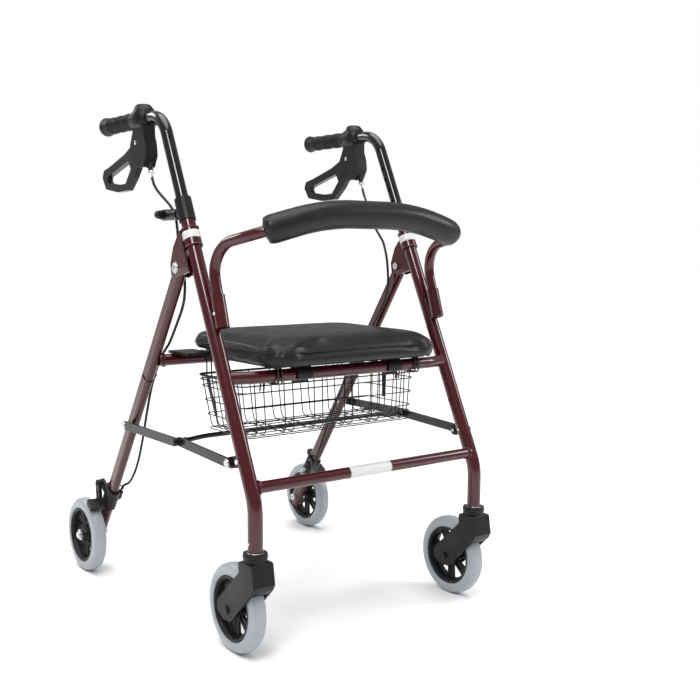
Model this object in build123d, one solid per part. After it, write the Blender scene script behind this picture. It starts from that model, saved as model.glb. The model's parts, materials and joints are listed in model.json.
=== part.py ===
"""Four-wheel folding rollator walker, in millimetres.

Z is up, the walker rolls towards -Y, its right side is -X, and the origin lies on the
floor, halfway across and 262 mm behind the front axles. Each sub-part is written to parts/NODE.step.
"""
import math
import os

from build123d import *

# Wheels
WHEEL_DIAMETER = 152.0
TYRE_WIDTH = 28.0
HUB_RADIUS = 56.0
AXLE_DIAMETER = 8.0
AXLE_Z = WHEEL_DIAMETER / 2
FRONT_AXLE_Y = -262.0
REAR_AXLE_Y = 285.0
REAR_WHEEL_X = 283.0
SPOKES = 7
FORK_TOP_Z = 185.0
FORK_WIDTH = 42.0

# Front frame
UPRIGHT_X = 247.0
UPRIGHT_OD = 25.4
UPRIGHT_ID = 22.7
UPRIGHT_TOP_Z = 745.0
UPRIGHT_FOOT_Z = 186.0
LEAN = 0.475
LEAN_Y = -192.0
LEAN_Z = 530.0
STEM_Y = -319.0
STEM_BEND_Z = LEAN_Z + (STEM_Y - LEAN_Y) / LEAN
CROSSBAR_Z = 288.0
CROSSBAR_OD = 20.0
RAIL_Z = 458.0
RAIL_OD = 22.0
RAIL_Y = -239.0
SLEEVE_OD = 31.0
SLEEVE_Z = 676.0
SLEEVE_LENGTH = 34.0
UPRIGHT_BEND = 90.0
COLLAR_OD = 30.0
COLLAR_BOSS_Z = UPRIGHT_TOP_Z - 12.0
CLIP_Z = 330.0
CLIP_BOLT = 5.0
SOCKET_FOOT_Z = 542.0
SOCKET_TOP_Z = 596.0
SOCKET_LEAN = 0.31
SOCKET_Y = -213.0
TUBE_WALL = 1.5

# Fold pivot and rear frame
FOLD_Y = -89.0
FOLD_Z = 640.0
REAR_LEG_X = 254.0
REAR_LEG_DEPTH = 30.0
REAR_LEG_WIDTH = 16.0
REAR_LEG_END = 22.0
LEG_TOP = 16.0
REAR_BAR_Y = 3.0
REAR_BAR_Z = 467.5
REAR_BAR_OD = 22.0
FOLD_BOLT = 8.0

# Parking and running brake, placed by its distance down the rear leg
BRAKE_TOP = 548.0
BRAKE_LENGTH = 46.0
BRAKE_PIVOT_DISTANCE = 560.0
BRAKE_PIVOT_BACK = 30.0
SHOE_ANGLE = 122.0
SHOE_CLEARANCE = 4.0

# Folding braces
BRACE_FRONT = (-261.0, 324.0)
BRACE_MID = (-92.0, 332.0)
BRACE_REAR = (115.0, 331.0)
BRACE_WIDTH = 16.0
BRACE_THICK = 5.0
FRONT_BRACE_X = 262.8
REAR_BRACE_X = 271.5
BRACE_PIN = 6.0
BRACE_BAR_OD = 9.0
BRACE_BAR_BOW = 20.0

# Handles
HANDLE_OD = 22.0
HANDLE_ID = 18.0
GRIP_Z = 911.0
GRIP_FRONT_Y = 90.0
GRIP_END_Y = 236.0
HANDLE_BEND = 58.0
KNOB_SCREW = 8.0
HEIGHT_HOLE = 7.0
HEIGHT_HOLE_PITCH = 25.0
HEIGHT_HOLE_Z = 771.0
HEIGHT_HOLE_COUNT = 4
HANDLE_FOOT_Z = 600.0
HOUSING_Y = 68.0
LEVER_PIVOT = (78.0, 868.0)
LEVER_WIDTH = 12.0

# Seat and backrest
SEAT_BOTTOM_Z = 476.0
SEAT_HALF_WIDTH = 192.0
SEAT_FRONT_Y = -287.0
SEAT_BACK_Y = 17.0
BOARD_THICK = 8.0
SEAT_TOP_Z = 522.0
CLIP_X = 102.0
TAB_X = 203.0
BOARD_BACK_Y = -34.0
BACKREST_OD = 19.0
BACKREST_SIDE_X = 243.0
BACKREST_RADII = [52.0, 60.0, 200.0, 200.0, 60.0, 52.0]
FOAM_OD = 53.0
FOAM_HALF_LENGTH = 208.0

# Basket
BASKET_FLOOR_Z = 344.0
BASKET_RIM_Z = 440.0
BASKET_WIRE = 3.0
BASKET_FLOOR_Y = -131.5
BASKET_FLOOR_SIZE = (372.0, 143.0)
BASKET_RIM_Y = -123.0
BASKET_RIM_SIZE = (406.0, 156.0)
HOOK_X = 155.0

# Cables
CABLE_OD = 5.0

# Snap buttons
CASTER_BUTTON_Z = 200.0
BACKREST_BUTTON_Z = 566.0
BUTTON_OD = 6.0

SMALL_GAP = 0.3


def lean_y(z):
    """Y of the upright's axis at height z on its leaning stretch."""
    return LEAN_Y + LEAN * (z - LEAN_Z)


LEG_DY = REAR_AXLE_Y - FOLD_Y
LEG_DZ = FOLD_Z - AXLE_Z
LEG_LENGTH = math.hypot(LEG_DY, LEG_DZ)
LEG_BOTTOM = LEG_LENGTH + REAR_LEG_END


def leg_point(distance, forward=0.0):
    """(y, z) at a distance down the rear leg from the fold pivot, and offset forward of its axis."""
    uy = LEG_DY / LEG_LENGTH
    uz = -LEG_DZ / LEG_LENGTH
    return (FOLD_Y + uy * distance + uz * forward, FOLD_Z + uz * distance - uy * forward)


BRAKE_PIVOT = leg_point(BRAKE_PIVOT_DISTANCE, -BRAKE_PIVOT_BACK)


def rod(x0, x1, y, z, diameter):
    """Round bar along X."""
    centre = (min(x0, x1), y, z)
    return Plane(origin=centre, z_dir=(1, 0, 0)) * extrude(Circle(diameter / 2), abs(x1 - x0))


def ring(x0, x1, y, z, outer, inner):
    """Round sleeve along X."""
    return rod(x0, x1, y, z, outer) - rod(x0, x1, y, z, inner)


def pipe(points, radii, outer, inner=0.0):
    """Tube of round section along straight runs joined by tangent arcs."""
    path = FilletPolyline(*points, radius=radii) if radii else Polyline(*points)
    start = Plane(origin=path @ 0, z_dir=path % 0)
    section = Circle(outer / 2)
    if inner:
        section = section - Circle(inner / 2)
    return sweep(start * section, path=path)


def side_plate(outline, x, thickness):
    """Flat plate in the YZ plane with its middle at x, from a list of (y, z) corners."""
    face = make_face(Polyline(*[(x - thickness / 2, y, z) for y, z in outline], close=True))
    return extrude(face, thickness, dir=(1, 0, 0))


def bar_between(start, end, x, width, thickness, hole=0.0):
    """Flat bar with round ends between two (y, z) pivots."""
    dy = end[0] - start[0]
    dz = end[1] - start[1]
    length = math.hypot(dy, dz)
    along = Vector(0, dy / length, dz / length)
    plane = Plane(origin=(x - thickness / 2, *start), x_dir=along, z_dir=(1, 0, 0))
    shape = Pos(length / 2, 0) * SlotCenterToCenter(length, width)
    if hole:
        shape = shape - Circle(hole / 2) - Pos(length, 0) * Circle(hole / 2)
    return plane * extrude(shape, thickness)


def bolt(x_head, x_tip, y, z, diameter, head, head_thick):
    """Bolt along X with a domed round head at x_head, its shank reaching x_tip."""
    outward = 1 if x_head > x_tip else -1
    shank = rod(x_head, x_tip, y, z, diameter)
    cap = rod(x_head, x_head + outward * head_thick, y, z, head)
    edge = cap.faces().sort_by(Axis.X)[-1 if outward > 0 else 0].edges()
    return shank + fillet(edge, head_thick * 0.6)


def mirrored(shape):
    """The same piece on the other side of the walker."""
    return mirror(shape, about=Plane.YZ)


def along_upright(z, outer, inner, length):
    """Sleeve of the given length round the upright's axis, starting at height z."""
    direction = Vector(0, LEAN, 1).normalized()
    plane = Plane(origin=(UPRIGHT_X, lean_y(z), z), x_dir=(1, 0, 0), z_dir=direction)
    section = Circle(outer / 2)
    if inner:
        section = section - Circle(inner / 2)
    return plane * extrude(section, length)


# ---------------------------------------------------------------- front frame

def upright_path():
    """Corners of the upright's axis, from the caster stem up."""
    return [
        (UPRIGHT_X, STEM_Y, UPRIGHT_FOOT_Z),
        (UPRIGHT_X, STEM_Y, STEM_BEND_Z),
        (UPRIGHT_X, lean_y(UPRIGHT_TOP_Z), UPRIGHT_TOP_Z),
    ]


def upright():
    """Left upright: leaning tube that turns vertical above the caster."""
    tube = pipe(upright_path(), [UPRIGHT_BEND], UPRIGHT_OD, UPRIGHT_ID)
    sleeve = along_upright(SLEEVE_Z, SLEEVE_OD, UPRIGHT_OD, SLEEVE_LENGTH)
    return tube + sleeve + backrest_socket() + hinge_bracket() - button_holes()


def socket_line(z):
    """Point of the backrest socket's axis at height z."""
    return (BACKREST_SIDE_X, SOCKET_Y + SOCKET_LEAN * (z - SOCKET_FOOT_Z), z)


def backrest_socket():
    """Short tube welded to the front of the upright."""
    room = BACKREST_OD + 2 * SMALL_GAP
    body = pipe([socket_line(SOCKET_FOOT_Z), socket_line(SOCKET_TOP_Z)], None, BACKREST_OD + 5.0, room)
    low = SOCKET_FOOT_Z + 6.0
    high = SOCKET_TOP_Z - 6.0
    web = side_plate([(lean_y(low) - 9, low), (lean_y(high) - 9, high),
                      (socket_line(high)[1] + 9, high), (socket_line(low)[1] + 9, low)],
                     UPRIGHT_X - 1.5, 6.0)
    bore = pipe([socket_line(530.0), socket_line(620.0)], None, room)
    cavity = along_upright(520.0, UPRIGHT_OD - 0.5, 0.0, 100.0)
    return body + (web - bore - cavity)


def hinge_bracket():
    """Two cheeks that carry the fold bolt behind the upright."""
    outline = [
        (lean_y(702.0) + 6, 704.0), (FOLD_Y + 8, 676.0), (FOLD_Y + 19, 646.0),
        (FOLD_Y + 16, 626.0), (FOLD_Y - 6, 622.0), (lean_y(634.0) + 6, 634.0),
    ]
    cheeks = None
    for x in (REAR_LEG_X - 11.0, REAR_LEG_X + 10.0):
        plate = side_plate(outline, x, 3.0)
        cheeks = plate if cheeks is None else cheeks + plate
    web_outline = [(lean_y(698.0) + 10, 702.0), (FOLD_Y + 5, 677.0), (FOLD_Y + 8, 673.0),
                   (lean_y(694.0) + 10, 697.0)]
    cheeks = cheeks + side_plate(web_outline, REAR_LEG_X - 0.5, 20.0)
    cheeks = cheeks - rod(200.0, 300.0, FOLD_Y, FOLD_Z, FOLD_BOLT + 0.1)
    return cheeks - along_upright(560.0, UPRIGHT_OD - 0.5, 0.0, 200.0)


def button_holes():
    """Holes for the clip's cross bolt and the snap buttons of caster stem and backrest."""
    caster = rod(UPRIGHT_X, UPRIGHT_X + 20, STEM_Y, CASTER_BUTTON_Z, BUTTON_OD + 2 * SMALL_GAP)
    y = socket_line(BACKREST_BUTTON_Z)[1]
    backrest = rod(BACKREST_SIDE_X, BACKREST_SIDE_X + 20, y, BACKREST_BUTTON_Z,
                   BUTTON_OD + 2 * SMALL_GAP)
    cross = rod(UPRIGHT_X - 20, UPRIGHT_X + 20, lean_y(CLIP_Z), CLIP_Z, CLIP_BOLT + 0.1)
    return caster + backrest + cross


def upright_envelope():
    """Solid that fills the upright, for coping the tubes that meet it."""
    solid = pipe(upright_path(), [UPRIGHT_BEND], UPRIGHT_OD)
    return solid + mirrored(solid)


def largest(shape):
    """The largest solid of a shape."""
    return sorted(shape.solids(), key=lambda s: s.volume)[-1]


def front_crossbar():
    """Lower front tube between the uprights."""
    y = STEM_Y + 10.0
    half = UPRIGHT_X
    tube = ring(-half, half, y, CROSSBAR_Z, CROSSBAR_OD, CROSSBAR_OD - 2 * TUBE_WALL)
    return largest(tube - upright_envelope())


def front_seat_rail():
    """Front seat rail: its ends bend back to the uprights."""
    end_y = lean_y(RAIL_Z)
    points = [(-UPRIGHT_X, end_y, RAIL_Z), (-198.0, RAIL_Y, RAIL_Z), (198.0, RAIL_Y, RAIL_Z),
              (UPRIGHT_X, end_y, RAIL_Z)]
    tube = pipe(points, [60.0, 60.0], RAIL_OD, RAIL_OD - 2 * TUBE_WALL)
    return largest(tube - upright_envelope())


def knob_plane():
    """Plane through the knob's screw axis, facing the rear."""
    return Plane(origin=(UPRIGHT_X, lean_y(COLLAR_BOSS_Z), COLLAR_BOSS_Z), z_dir=(0, 1, 0))


def tube_collar():
    """Plastic bush on the upright's mouth that guides the handle tube."""
    cap = along_upright(UPRIGHT_TOP_Z, COLLAR_OD, HANDLE_OD + 2 * SMALL_GAP, 16.0)
    skirt = along_upright(UPRIGHT_TOP_Z - 24.0, COLLAR_OD, UPRIGHT_OD, 26.5)
    boss = knob_plane() * extrude(Circle(8.0), 24.0)
    body = skirt + cap + (boss - along_upright(UPRIGHT_TOP_Z - 60, UPRIGHT_OD, 0.0, 120.0))
    hole = knob_plane() * extrude(Circle(KNOB_SCREW / 2 + 0.1), 40.0)
    return body - hole


def height_knob():
    """T-shaped clamp knob with its screw, pointing to the rear."""
    plane = knob_plane()
    screw = plane.offset(17.0) * extrude(Circle(KNOB_SCREW / 2), 24.0)
    hub = plane.offset(25.0) * extrude(Circle(10.0), 64.0)
    hub = fillet(hub.faces().sort_by(Axis.Y)[-1].edges(), 4.0)
    wing = plane.offset(61.0) * extrude(SlotOverall(50.0, 15.0, rotation=90), 14.0)
    wing = fillet(wing.edges().filter_by(GeomType.CIRCLE), 3.0)
    return screw + hub + wing


def brace_clip():
    """Moulded clip bolted round the upright, with an ear for the front brace."""
    y = lean_y(CLIP_Z)
    direction = Vector(0, LEAN, 1).normalized()
    plane = Plane(origin=(UPRIGHT_X, y, CLIP_Z), x_dir=(1, 0, 0), z_dir=direction)
    band = plane * extrude(Circle(UPRIGHT_OD / 2 + 3.0) - Circle(UPRIGHT_OD / 2), 13.0, both=True)
    ear = bar_between((y + 10, CLIP_Z - 2.0), BRACE_FRONT, UPRIGHT_X + 6.0, 20.0, 12.0)
    ear = ear - plane * extrude(Circle(UPRIGHT_OD / 2), 60.0, both=True)
    pin = rod(200.0, 300.0, *BRACE_FRONT, BRACE_PIN + 0.1)
    cross = rod(200.0, 300.0, y, CLIP_Z, CLIP_BOLT + 0.1)
    return band + ear - pin - cross


def frame_bolts():
    """Fold bolts, brace bolts and the clips' cross bolts, as separate solids."""
    clip_y = lean_y(CLIP_Z)
    bolts = []
    for side in (1, -1):
        fold = bolt(side * 266.0, side * 236.0, FOLD_Y, FOLD_Z, FOLD_BOLT, 15.0, 4.0)
        nut = Plane(origin=(side * 241.2, FOLD_Y, FOLD_Z), z_dir=(-side, 0, 0)) * extrude(
            RegularPolygon(7.5, 6) - Circle(FOLD_BOLT / 2), 5.0)
        brace = bolt(side * (FRONT_BRACE_X + 2.8), side * 243.0, *BRACE_FRONT, BRACE_PIN, 12.0, 3.0)
        cross = bolt(side * (UPRIGHT_X + 15.7), side * (UPRIGHT_X - 14.0), clip_y, CLIP_Z,
                     CLIP_BOLT, 9.0, 1.0)
        bolts += [fold, nut, brace, cross]
    return Compound(children=[solid for piece in bolts for solid in piece.solids()])


# ------------------------------------------------------------------ rear frame

def leg_plane(distance):
    """Section plane of the rear leg: local x across the walker, local y along its depth."""
    y, z = leg_point(distance)
    down = Vector(0, LEG_DY, -LEG_DZ).normalized()
    return Plane(origin=(REAR_LEG_X, y, z), x_dir=(1, 0, 0), z_dir=down)


def leg_profile(grow=0.0):
    """Flat-oval section of the rear leg."""
    return SlotOverall(REAR_LEG_DEPTH + 2 * grow, REAR_LEG_WIDTH + 2 * grow, rotation=90)


def rear_leg():
    """Left rear leg: flat-oval tube hung on the fold bolt."""
    length = LEG_BOTTOM + LEG_TOP
    body = leg_plane(-LEG_TOP) * extrude(leg_profile() - leg_profile(-1.6), length)
    for (y, z), hole in (((FOLD_Y, FOLD_Z), FOLD_BOLT), (BRACE_REAR, BRACE_PIN),
                         ((REAR_AXLE_Y, AXLE_Z), AXLE_DIAMETER)):
        body = body - rod(200.0, 300.0, y, z, hole + 0.1)
    return body


def leg_envelope(grow=0.0):
    """Solid that fills both rear legs, for coping what meets them."""
    solid = leg_plane(-LEG_TOP - 5) * extrude(leg_profile(grow), LEG_BOTTOM + LEG_TOP + 10)
    return solid + mirrored(solid)


def rear_seat_bar():
    """Tube joining the rear legs under the back of the seat."""
    tube = ring(-REAR_LEG_X, REAR_LEG_X, REAR_BAR_Y, REAR_BAR_Z, REAR_BAR_OD,
                REAR_BAR_OD - 2 * TUBE_WALL)
    plates = []
    for side in (1, -1):
        distance = (FOLD_Z - REAR_BAR_Z) / LEG_DZ * LEG_LENGTH
        near = leg_point(distance - 14)
        far = leg_point(distance + 14)
        x = side * (REAR_LEG_X - 3.0)
        plates.append(side_plate([near, far, (REAR_BAR_Y + 5, REAR_BAR_Z - 10),
                                  (REAR_BAR_Y - 3, REAR_BAR_Z + 10)], x, 8.0))
    return largest(tube + plates[0] + plates[1] - leg_envelope())


def leg_plugs():
    """Plastic plugs closing the feet of the rear legs."""
    cap = leg_plane(LEG_BOTTOM) * extrude(leg_profile(0.8), 4.0)
    spigot = leg_plane(LEG_BOTTOM - 8.0) * extrude(leg_profile(-1.7), 8.0)
    plug = cap + spigot
    return Compound(children=[plug.solids()[0], mirrored(plug).solids()[0]])


def rear_axles():
    """Axle bolts of the rear wheels, with a spacer and an inner cap nut each."""
    pieces = []
    for side in (1, -1):
        axle = bolt(side * 300.0, side * 242.0, REAR_AXLE_Y, AXLE_Z, AXLE_DIAMETER, 15.0, 4.5)
        spacer = ring(side * 262.2, side * 267.0, REAR_AXLE_Y, AXLE_Z, 16.0, AXLE_DIAMETER)
        nut = Plane(origin=(side * 245.9, REAR_AXLE_Y, AXLE_Z), z_dir=(-side, 0, 0)) * extrude(
            RegularPolygon(8.0, 6) - Circle(AXLE_DIAMETER / 2), 7.0)
        pieces += [axle, spacer, nut]
    return Compound(children=[solid for piece in pieces for solid in piece.solids()])


def brake_body():
    """Moulded sleeve on the rear leg that carries the brake arm and the cable stop."""
    sleeve = leg_plane(BRAKE_TOP) * extrude(leg_profile(4.0) - leg_profile(), BRAKE_LENGTH)
    lug = bar_between(leg_point(BRAKE_PIVOT_DISTANCE, -14.0), BRAKE_PIVOT, REAR_LEG_X + 9.0,
                      18.0, 6.0)
    stop = Plane(origin=(REAR_LEG_X - 16.5, *leg_point(BRAKE_TOP + 8, 4.0)), x_dir=(1, 0, 0),
                 z_dir=Vector(0, LEG_DY, -LEG_DZ).normalized())
    barrel = stop * extrude(Circle(5.5), 18.0)
    body = sleeve + (lug - leg_envelope()) + (barrel - leg_envelope())
    return largest(body - rod(200.0, 320.0, *BRAKE_PIVOT, 6.1))


def brake_arm():
    """Arm with the shoe that bears on the tyre, hinged on the sleeve's lug."""
    shoe_angle = math.radians(SHOE_ANGLE)
    reach = WHEEL_DIAMETER / 2 + SHOE_CLEARANCE
    shoe_y = REAR_AXLE_Y + reach * math.cos(shoe_angle)
    shoe_z = AXLE_Z + reach * math.sin(shoe_angle)
    arm_x = REAR_WHEEL_X - 10.5
    arm = bar_between(BRAKE_PIVOT, (shoe_y, shoe_z + 9.0), arm_x, 16.0, 7.0)
    middle_y = (BRAKE_PIVOT[0] + shoe_y) / 2
    middle_z = (BRAKE_PIVOT[1] + shoe_z + 9.0) / 2
    arm = arm - rod(200.0, 320.0, middle_y, middle_z, 7.0)
    shoe_plane = Plane(origin=(REAR_WHEEL_X, shoe_y, shoe_z), x_dir=(1, 0, 0),
                       z_dir=Vector(0, math.cos(shoe_angle), math.sin(shoe_angle)))
    shoe = shoe_plane * extrude(RectangleRounded(TYRE_WIDTH, 26.0, 3.0), 9.0)
    tyre = rod(200.0, 320.0, REAR_AXLE_Y, AXLE_Z, WHEEL_DIAMETER + 2 * SHOE_CLEARANCE)
    pin = rod(REAR_LEG_X + 5.5, arm_x + 6.0, *BRAKE_PIVOT, 6.0)
    return largest(arm + (shoe - tyre) + pin)


def rear_brace_bolts():
    """Bolts that hold the rear half-braces to the rear legs."""
    pieces = [bolt(side * (REAR_BRACE_X + 2.7), side * 245.8, *BRACE_REAR, BRACE_PIN, 12.0, 3.0)
              for side in (1, -1)]
    spacers = [ring(side * 262.2, side * (REAR_BRACE_X - 2.7), *BRACE_REAR, 12.0, BRACE_PIN)
               for side in (1, -1)]
    return Compound(children=[solid for piece in pieces + spacers for solid in piece.solids()])


# ---------------------------------------------------------------------- braces

def front_brace():
    """Left front half-brace."""
    arm = bar_between(BRACE_FRONT, BRACE_MID, FRONT_BRACE_X, BRACE_WIDTH, BRACE_THICK,
                      BRACE_PIN + 0.1)
    return arm


def rear_brace():
    """Left rear half-brace with the domed head of the middle bolt."""
    arm = bar_between(BRACE_REAR, BRACE_MID, REAR_BRACE_X, BRACE_WIDTH, BRACE_THICK)
    arm = arm - rod(200.0, 320.0, *BRACE_REAR, BRACE_PIN + 0.1)
    y, z = BRACE_MID
    head = rod(REAR_BRACE_X + BRACE_THICK / 2, REAR_BRACE_X + BRACE_THICK / 2 + 3.0, y, z, 12.0)
    head = fillet(head.faces().sort_by(Axis.X)[-1].edges(), 2.0)
    return arm + head


def brace_crossbar():
    """Bowed rod between the two middle pivots, with its pivot pins."""
    y, z = BRACE_MID
    inner = FRONT_BRACE_X - BRACE_THICK / 2 - SMALL_GAP
    bow = y + BRACE_BAR_BOW
    points = [(-inner + 3, y, z), (-200.0, bow, z), (200.0, bow, z), (inner - 3, y, z)]
    bar = pipe(points, [90.0, 90.0], BRACE_BAR_OD)
    ends = rod(inner - 12, inner, y, z, 13.0) + rod(-inner, -inner + 12, y, z, 13.0)
    pins = rod(inner - 2, inner + 5.5, y, z, BRACE_PIN) + rod(-inner - 5.5, -inner + 2, y, z, BRACE_PIN)
    return bar + ends + pins


# ------------------------------------------------------------------ front wheels

def caster_fork():
    """Left caster fork: moulded collar and two arms, with its stem and axle bolt."""
    collar = Plane.XY.offset(FORK_TOP_Z - 35.0) * (
        Pos(UPRIGHT_X, STEM_Y) * extrude(Circle(20.0), 35.0))
    outline = [
        (STEM_Y - 21, 170.0), (STEM_Y + 19, 170.0), (STEM_Y + 18, 150.0), (FRONT_AXLE_Y + 30, 86.0),
        (FRONT_AXLE_Y + 31, 68.0), (FRONT_AXLE_Y + 12, 57.0), (FRONT_AXLE_Y - 12, 58.0),
        (STEM_Y - 21, 124.0), (STEM_Y - 27, 134.0),
    ]
    block = side_plate(outline, UPRIGHT_X, FORK_WIDTH)
    block = fillet(block.edges().filter_by(Axis.X), 4.0)
    wheel_room = rod(UPRIGHT_X - 16.5, UPRIGHT_X + 16.5, FRONT_AXLE_Y, AXLE_Z, WHEEL_DIAMETER + 10.0)
    block = block - wheel_room
    stem = Pos(UPRIGHT_X, STEM_Y, FORK_TOP_Z - 10.0) * extrude(Circle(9.0), 62.0)
    neck = Pos(UPRIGHT_X, STEM_Y, CASTER_BUTTON_Z - 5.0) * extrude(Circle(9.5) - Circle(6.0), 10.0)
    washer = Pos(UPRIGHT_X, STEM_Y, FORK_TOP_Z - 2.0) * extrude(Circle(12.5), 2.7)
    body = collar + block + washer + (stem - neck)
    body = body - rod(200.0, 320.0, FRONT_AXLE_Y, AXLE_Z, AXLE_DIAMETER)
    axle = bolt(UPRIGHT_X + FORK_WIDTH / 2, UPRIGHT_X - FORK_WIDTH / 2, FRONT_AXLE_Y, AXLE_Z,
                AXLE_DIAMETER, 14.0, 3.5)
    nut = Plane(origin=(UPRIGHT_X - FORK_WIDTH / 2, FRONT_AXLE_Y, AXLE_Z), z_dir=(-1, 0, 0)) * extrude(
        RegularPolygon(7.0, 6), 4.0)
    return Compound(children=[body.solids()[0], (axle + nut).solids()[0]])


def wheel_profile(x, half_width, inner_radius, outer_radius, corner):
    """Ring about X with rounded outer corners."""
    shape = ring(x - half_width, x + half_width, 0, 0, 2 * outer_radius, 2 * inner_radius)
    circles = shape.edges().filter_by(GeomType.CIRCLE)
    outer_edges = [edge for edge in circles if abs(edge.radius - outer_radius) < 0.01]
    return fillet(outer_edges, corner)


def tyre(x, y):
    """Solid grey tyre with rounded shoulders."""
    return Pos(0, y, AXLE_Z) * wheel_profile(x, TYRE_WIDTH / 2, HUB_RADIUS, WHEEL_DIAMETER / 2, 9.0)


def hub(x, y):
    """Moulded hub: deep rim, web with a ring of wedge windows, and axle boss."""
    rim = ring(x - 13.0, x + 13.0, 0, 0, 2 * HUB_RADIUS, 2 * HUB_RADIUS - 9.0)
    web = ring(x - 5.0, x + 5.0, 0, 0, 2 * HUB_RADIUS - 8.5, 30.0)
    boss = ring(x - 15.5, x + 15.5, 0, 0, 31.0, AXLE_DIAMETER + 0.1)
    plane = Plane(origin=(x - 20.0, 0, 0), x_dir=(0, 1, 0), z_dir=(1, 0, 0))
    wedge = make_face(Polyline((24, -2), (45, -11), (45, 11), (24, 2), close=True))
    openings = None
    for index in range(SPOKES):
        hole = plane * Rot(0, 0, 90.0 + 360.0 * index / SPOKES) * extrude(wedge, 40.0)
        hole = fillet(hole.edges().filter_by(Axis.X), 1.8)
        openings = hole if openings is None else openings + hole
    return Pos(0, y, AXLE_Z) * (rim + (web - openings) + boss)


# --------------------------------------------------------------------- handles

def handle_path():
    """Corners of the handle tube's axis, from its foot inside the upright to the grip."""
    return [(UPRIGHT_X, lean_y(HANDLE_FOOT_Z), HANDLE_FOOT_Z), (UPRIGHT_X, lean_y(GRIP_Z), GRIP_Z),
            (UPRIGHT_X, GRIP_END_Y - 10.0, GRIP_Z)]


def handle_tube():
    """Handle tube with its row of height holes: slides in the upright and bends back to the grip."""
    tube = pipe(handle_path(), [HANDLE_BEND], HANDLE_OD, HANDLE_ID)
    rise = HEIGHT_HOLE_PITCH * Vector(0, LEAN, 1).normalized().Z
    for index in range(HEIGHT_HOLE_COUNT):
        z = HEIGHT_HOLE_Z + rise * index
        tube = tube - rod(UPRIGHT_X - 20.0, UPRIGHT_X, lean_y(z), z, HEIGHT_HOLE)
    return tube


def grip():
    """Rubber grip with finger waves and a flared end."""
    length = GRIP_END_Y - GRIP_FRONT_Y
    points = [(HANDLE_OD / 2, 0), (15.5, 0), (16.5, 14), (15.2, 32), (16.5, 50), (15.2, 68),
              (16.5, 86), (15.2, 104), (16.8, 122), (18.5, length - 8), (17.5, length),
              (0, length), (0, length - 6), (HANDLE_OD / 2, length - 6)]
    outline = Spline(*[(r, y) for r, y in points[1:11]])
    rest = Polyline(points[10], points[11], points[12], points[13], points[0], points[1])
    face = make_face(outline + rest)
    solid = revolve(face, axis=Axis.Y)
    return Pos(UPRIGHT_X, GRIP_FRONT_Y, GRIP_Z) * solid


def brake_housing():
    """Moulded clamp round the handle with its dome, lever cheeks and cable ferrule."""
    y = HOUSING_Y
    clamp = Plane(origin=(UPRIGHT_X, y - 21.0, GRIP_Z), z_dir=(0, 1, 0)) * extrude(Circle(20.0), 42.5)
    clamp = fillet(clamp.edges(), 6.0)
    dome = Pos(UPRIGHT_X, y - 2.0, GRIP_Z + 9.0) * Cylinder(17.0, 36.0)
    dome = fillet(dome.faces().sort_by(Axis.Z)[-1].edges(), 9.0)
    outline = [(y - 24, 902.0), (y + 20, 904.0), (y + 21, 888.0), (y + 33, 864.0), (y + 20, 846.0),
               (y + 2, 822.0), (y - 22, 822.0), (y - 34, 842.0), (y - 32, 862.0), (y - 25, 880.0)]
    skirt = side_plate(outline, UPRIGHT_X, 24.0)
    skirt = fillet(skirt.edges().filter_by(Axis.X), 4.0)
    slot_outline = [(y - 16, 876.0), (y + 60, 880.0), (y + 60, 800.0), (y - 16, 800.0)]
    slot = side_plate(slot_outline, UPRIGHT_X, LEVER_WIDTH + 1.0)
    ferrule = Plane(origin=(UPRIGHT_X, y - 25.0, 830.0), z_dir=(0, -0.3, -1)) * extrude(Circle(4.5), 18.0)
    body = clamp + dome + (skirt - slot) + ferrule
    bore = pipe([(UPRIGHT_X, y - 60, GRIP_Z), (UPRIGHT_X, y + 60, GRIP_Z)], None, HANDLE_OD)
    tube_room = pipe(handle_path(), [HANDLE_BEND], HANDLE_OD)
    pin = rod(UPRIGHT_X - 10, UPRIGHT_X + 10, *LEVER_PIVOT, 6.0)
    return largest(body - bore - tube_room + pin)


def brake_lever():
    """Loop-shaped brake lever, closed at its rear end."""
    py, pz = LEVER_PIVOT
    outer = [(py - 12, pz + 6), (py + 14, pz + 4), (140.0, 851.0), (208.0, 832.0), (236.0, 826.0),
             (242.0, 812.0), (226.0, 789.0), (172.0, 781.0), (128.0, 783.0), (100.0, 806.0),
             (82.0, 826.0), (py - 12, 836.0)]
    inner = [(122.0, 838.0), (158.0, 829.0), (206.0, 816.0), (222.0, 811.0), (214.0, 801.0),
             (170.0, 795.0), (136.0, 796.0), (112.0, 822.0)]
    body = side_plate(outer, UPRIGHT_X, LEVER_WIDTH)
    body = fillet(body.edges().filter_by(Axis.X), 4.0)
    window = side_plate(inner, UPRIGHT_X, LEVER_WIDTH + 10)
    window = fillet(window.edges().filter_by(Axis.X), 4.0)
    return body - window - rod(200.0, 300.0, py, pz, 6.1)


# ------------------------------------------------------------- seat and backrest

def seat_board():
    """Board under the seat pad, notched over the basket hooks and for the rear tabs."""
    depth = SEAT_BACK_Y - SEAT_FRONT_Y
    face = RectangleRounded(2 * SEAT_HALF_WIDTH - 16.0, depth - 16.0, 34.0)
    board = Pos(0, (SEAT_BACK_Y + SEAT_FRONT_Y) / 2, SEAT_BOTTOM_Z) * extrude(face, BOARD_THICK)
    bar_room = Pos(0, BOARD_BACK_Y + 50.0, SEAT_BOTTOM_Z) * Box(500, 100, 20)
    board = board - bar_room
    notches = [Pos(side * HOOK_X, RAIL_Y - 20.0, SEAT_BOTTOM_Z) * Box(12, 66, 30) for side in (-1, 1)]
    for room in seat_tabs() + notches:
        board = board - room
    return board


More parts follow.
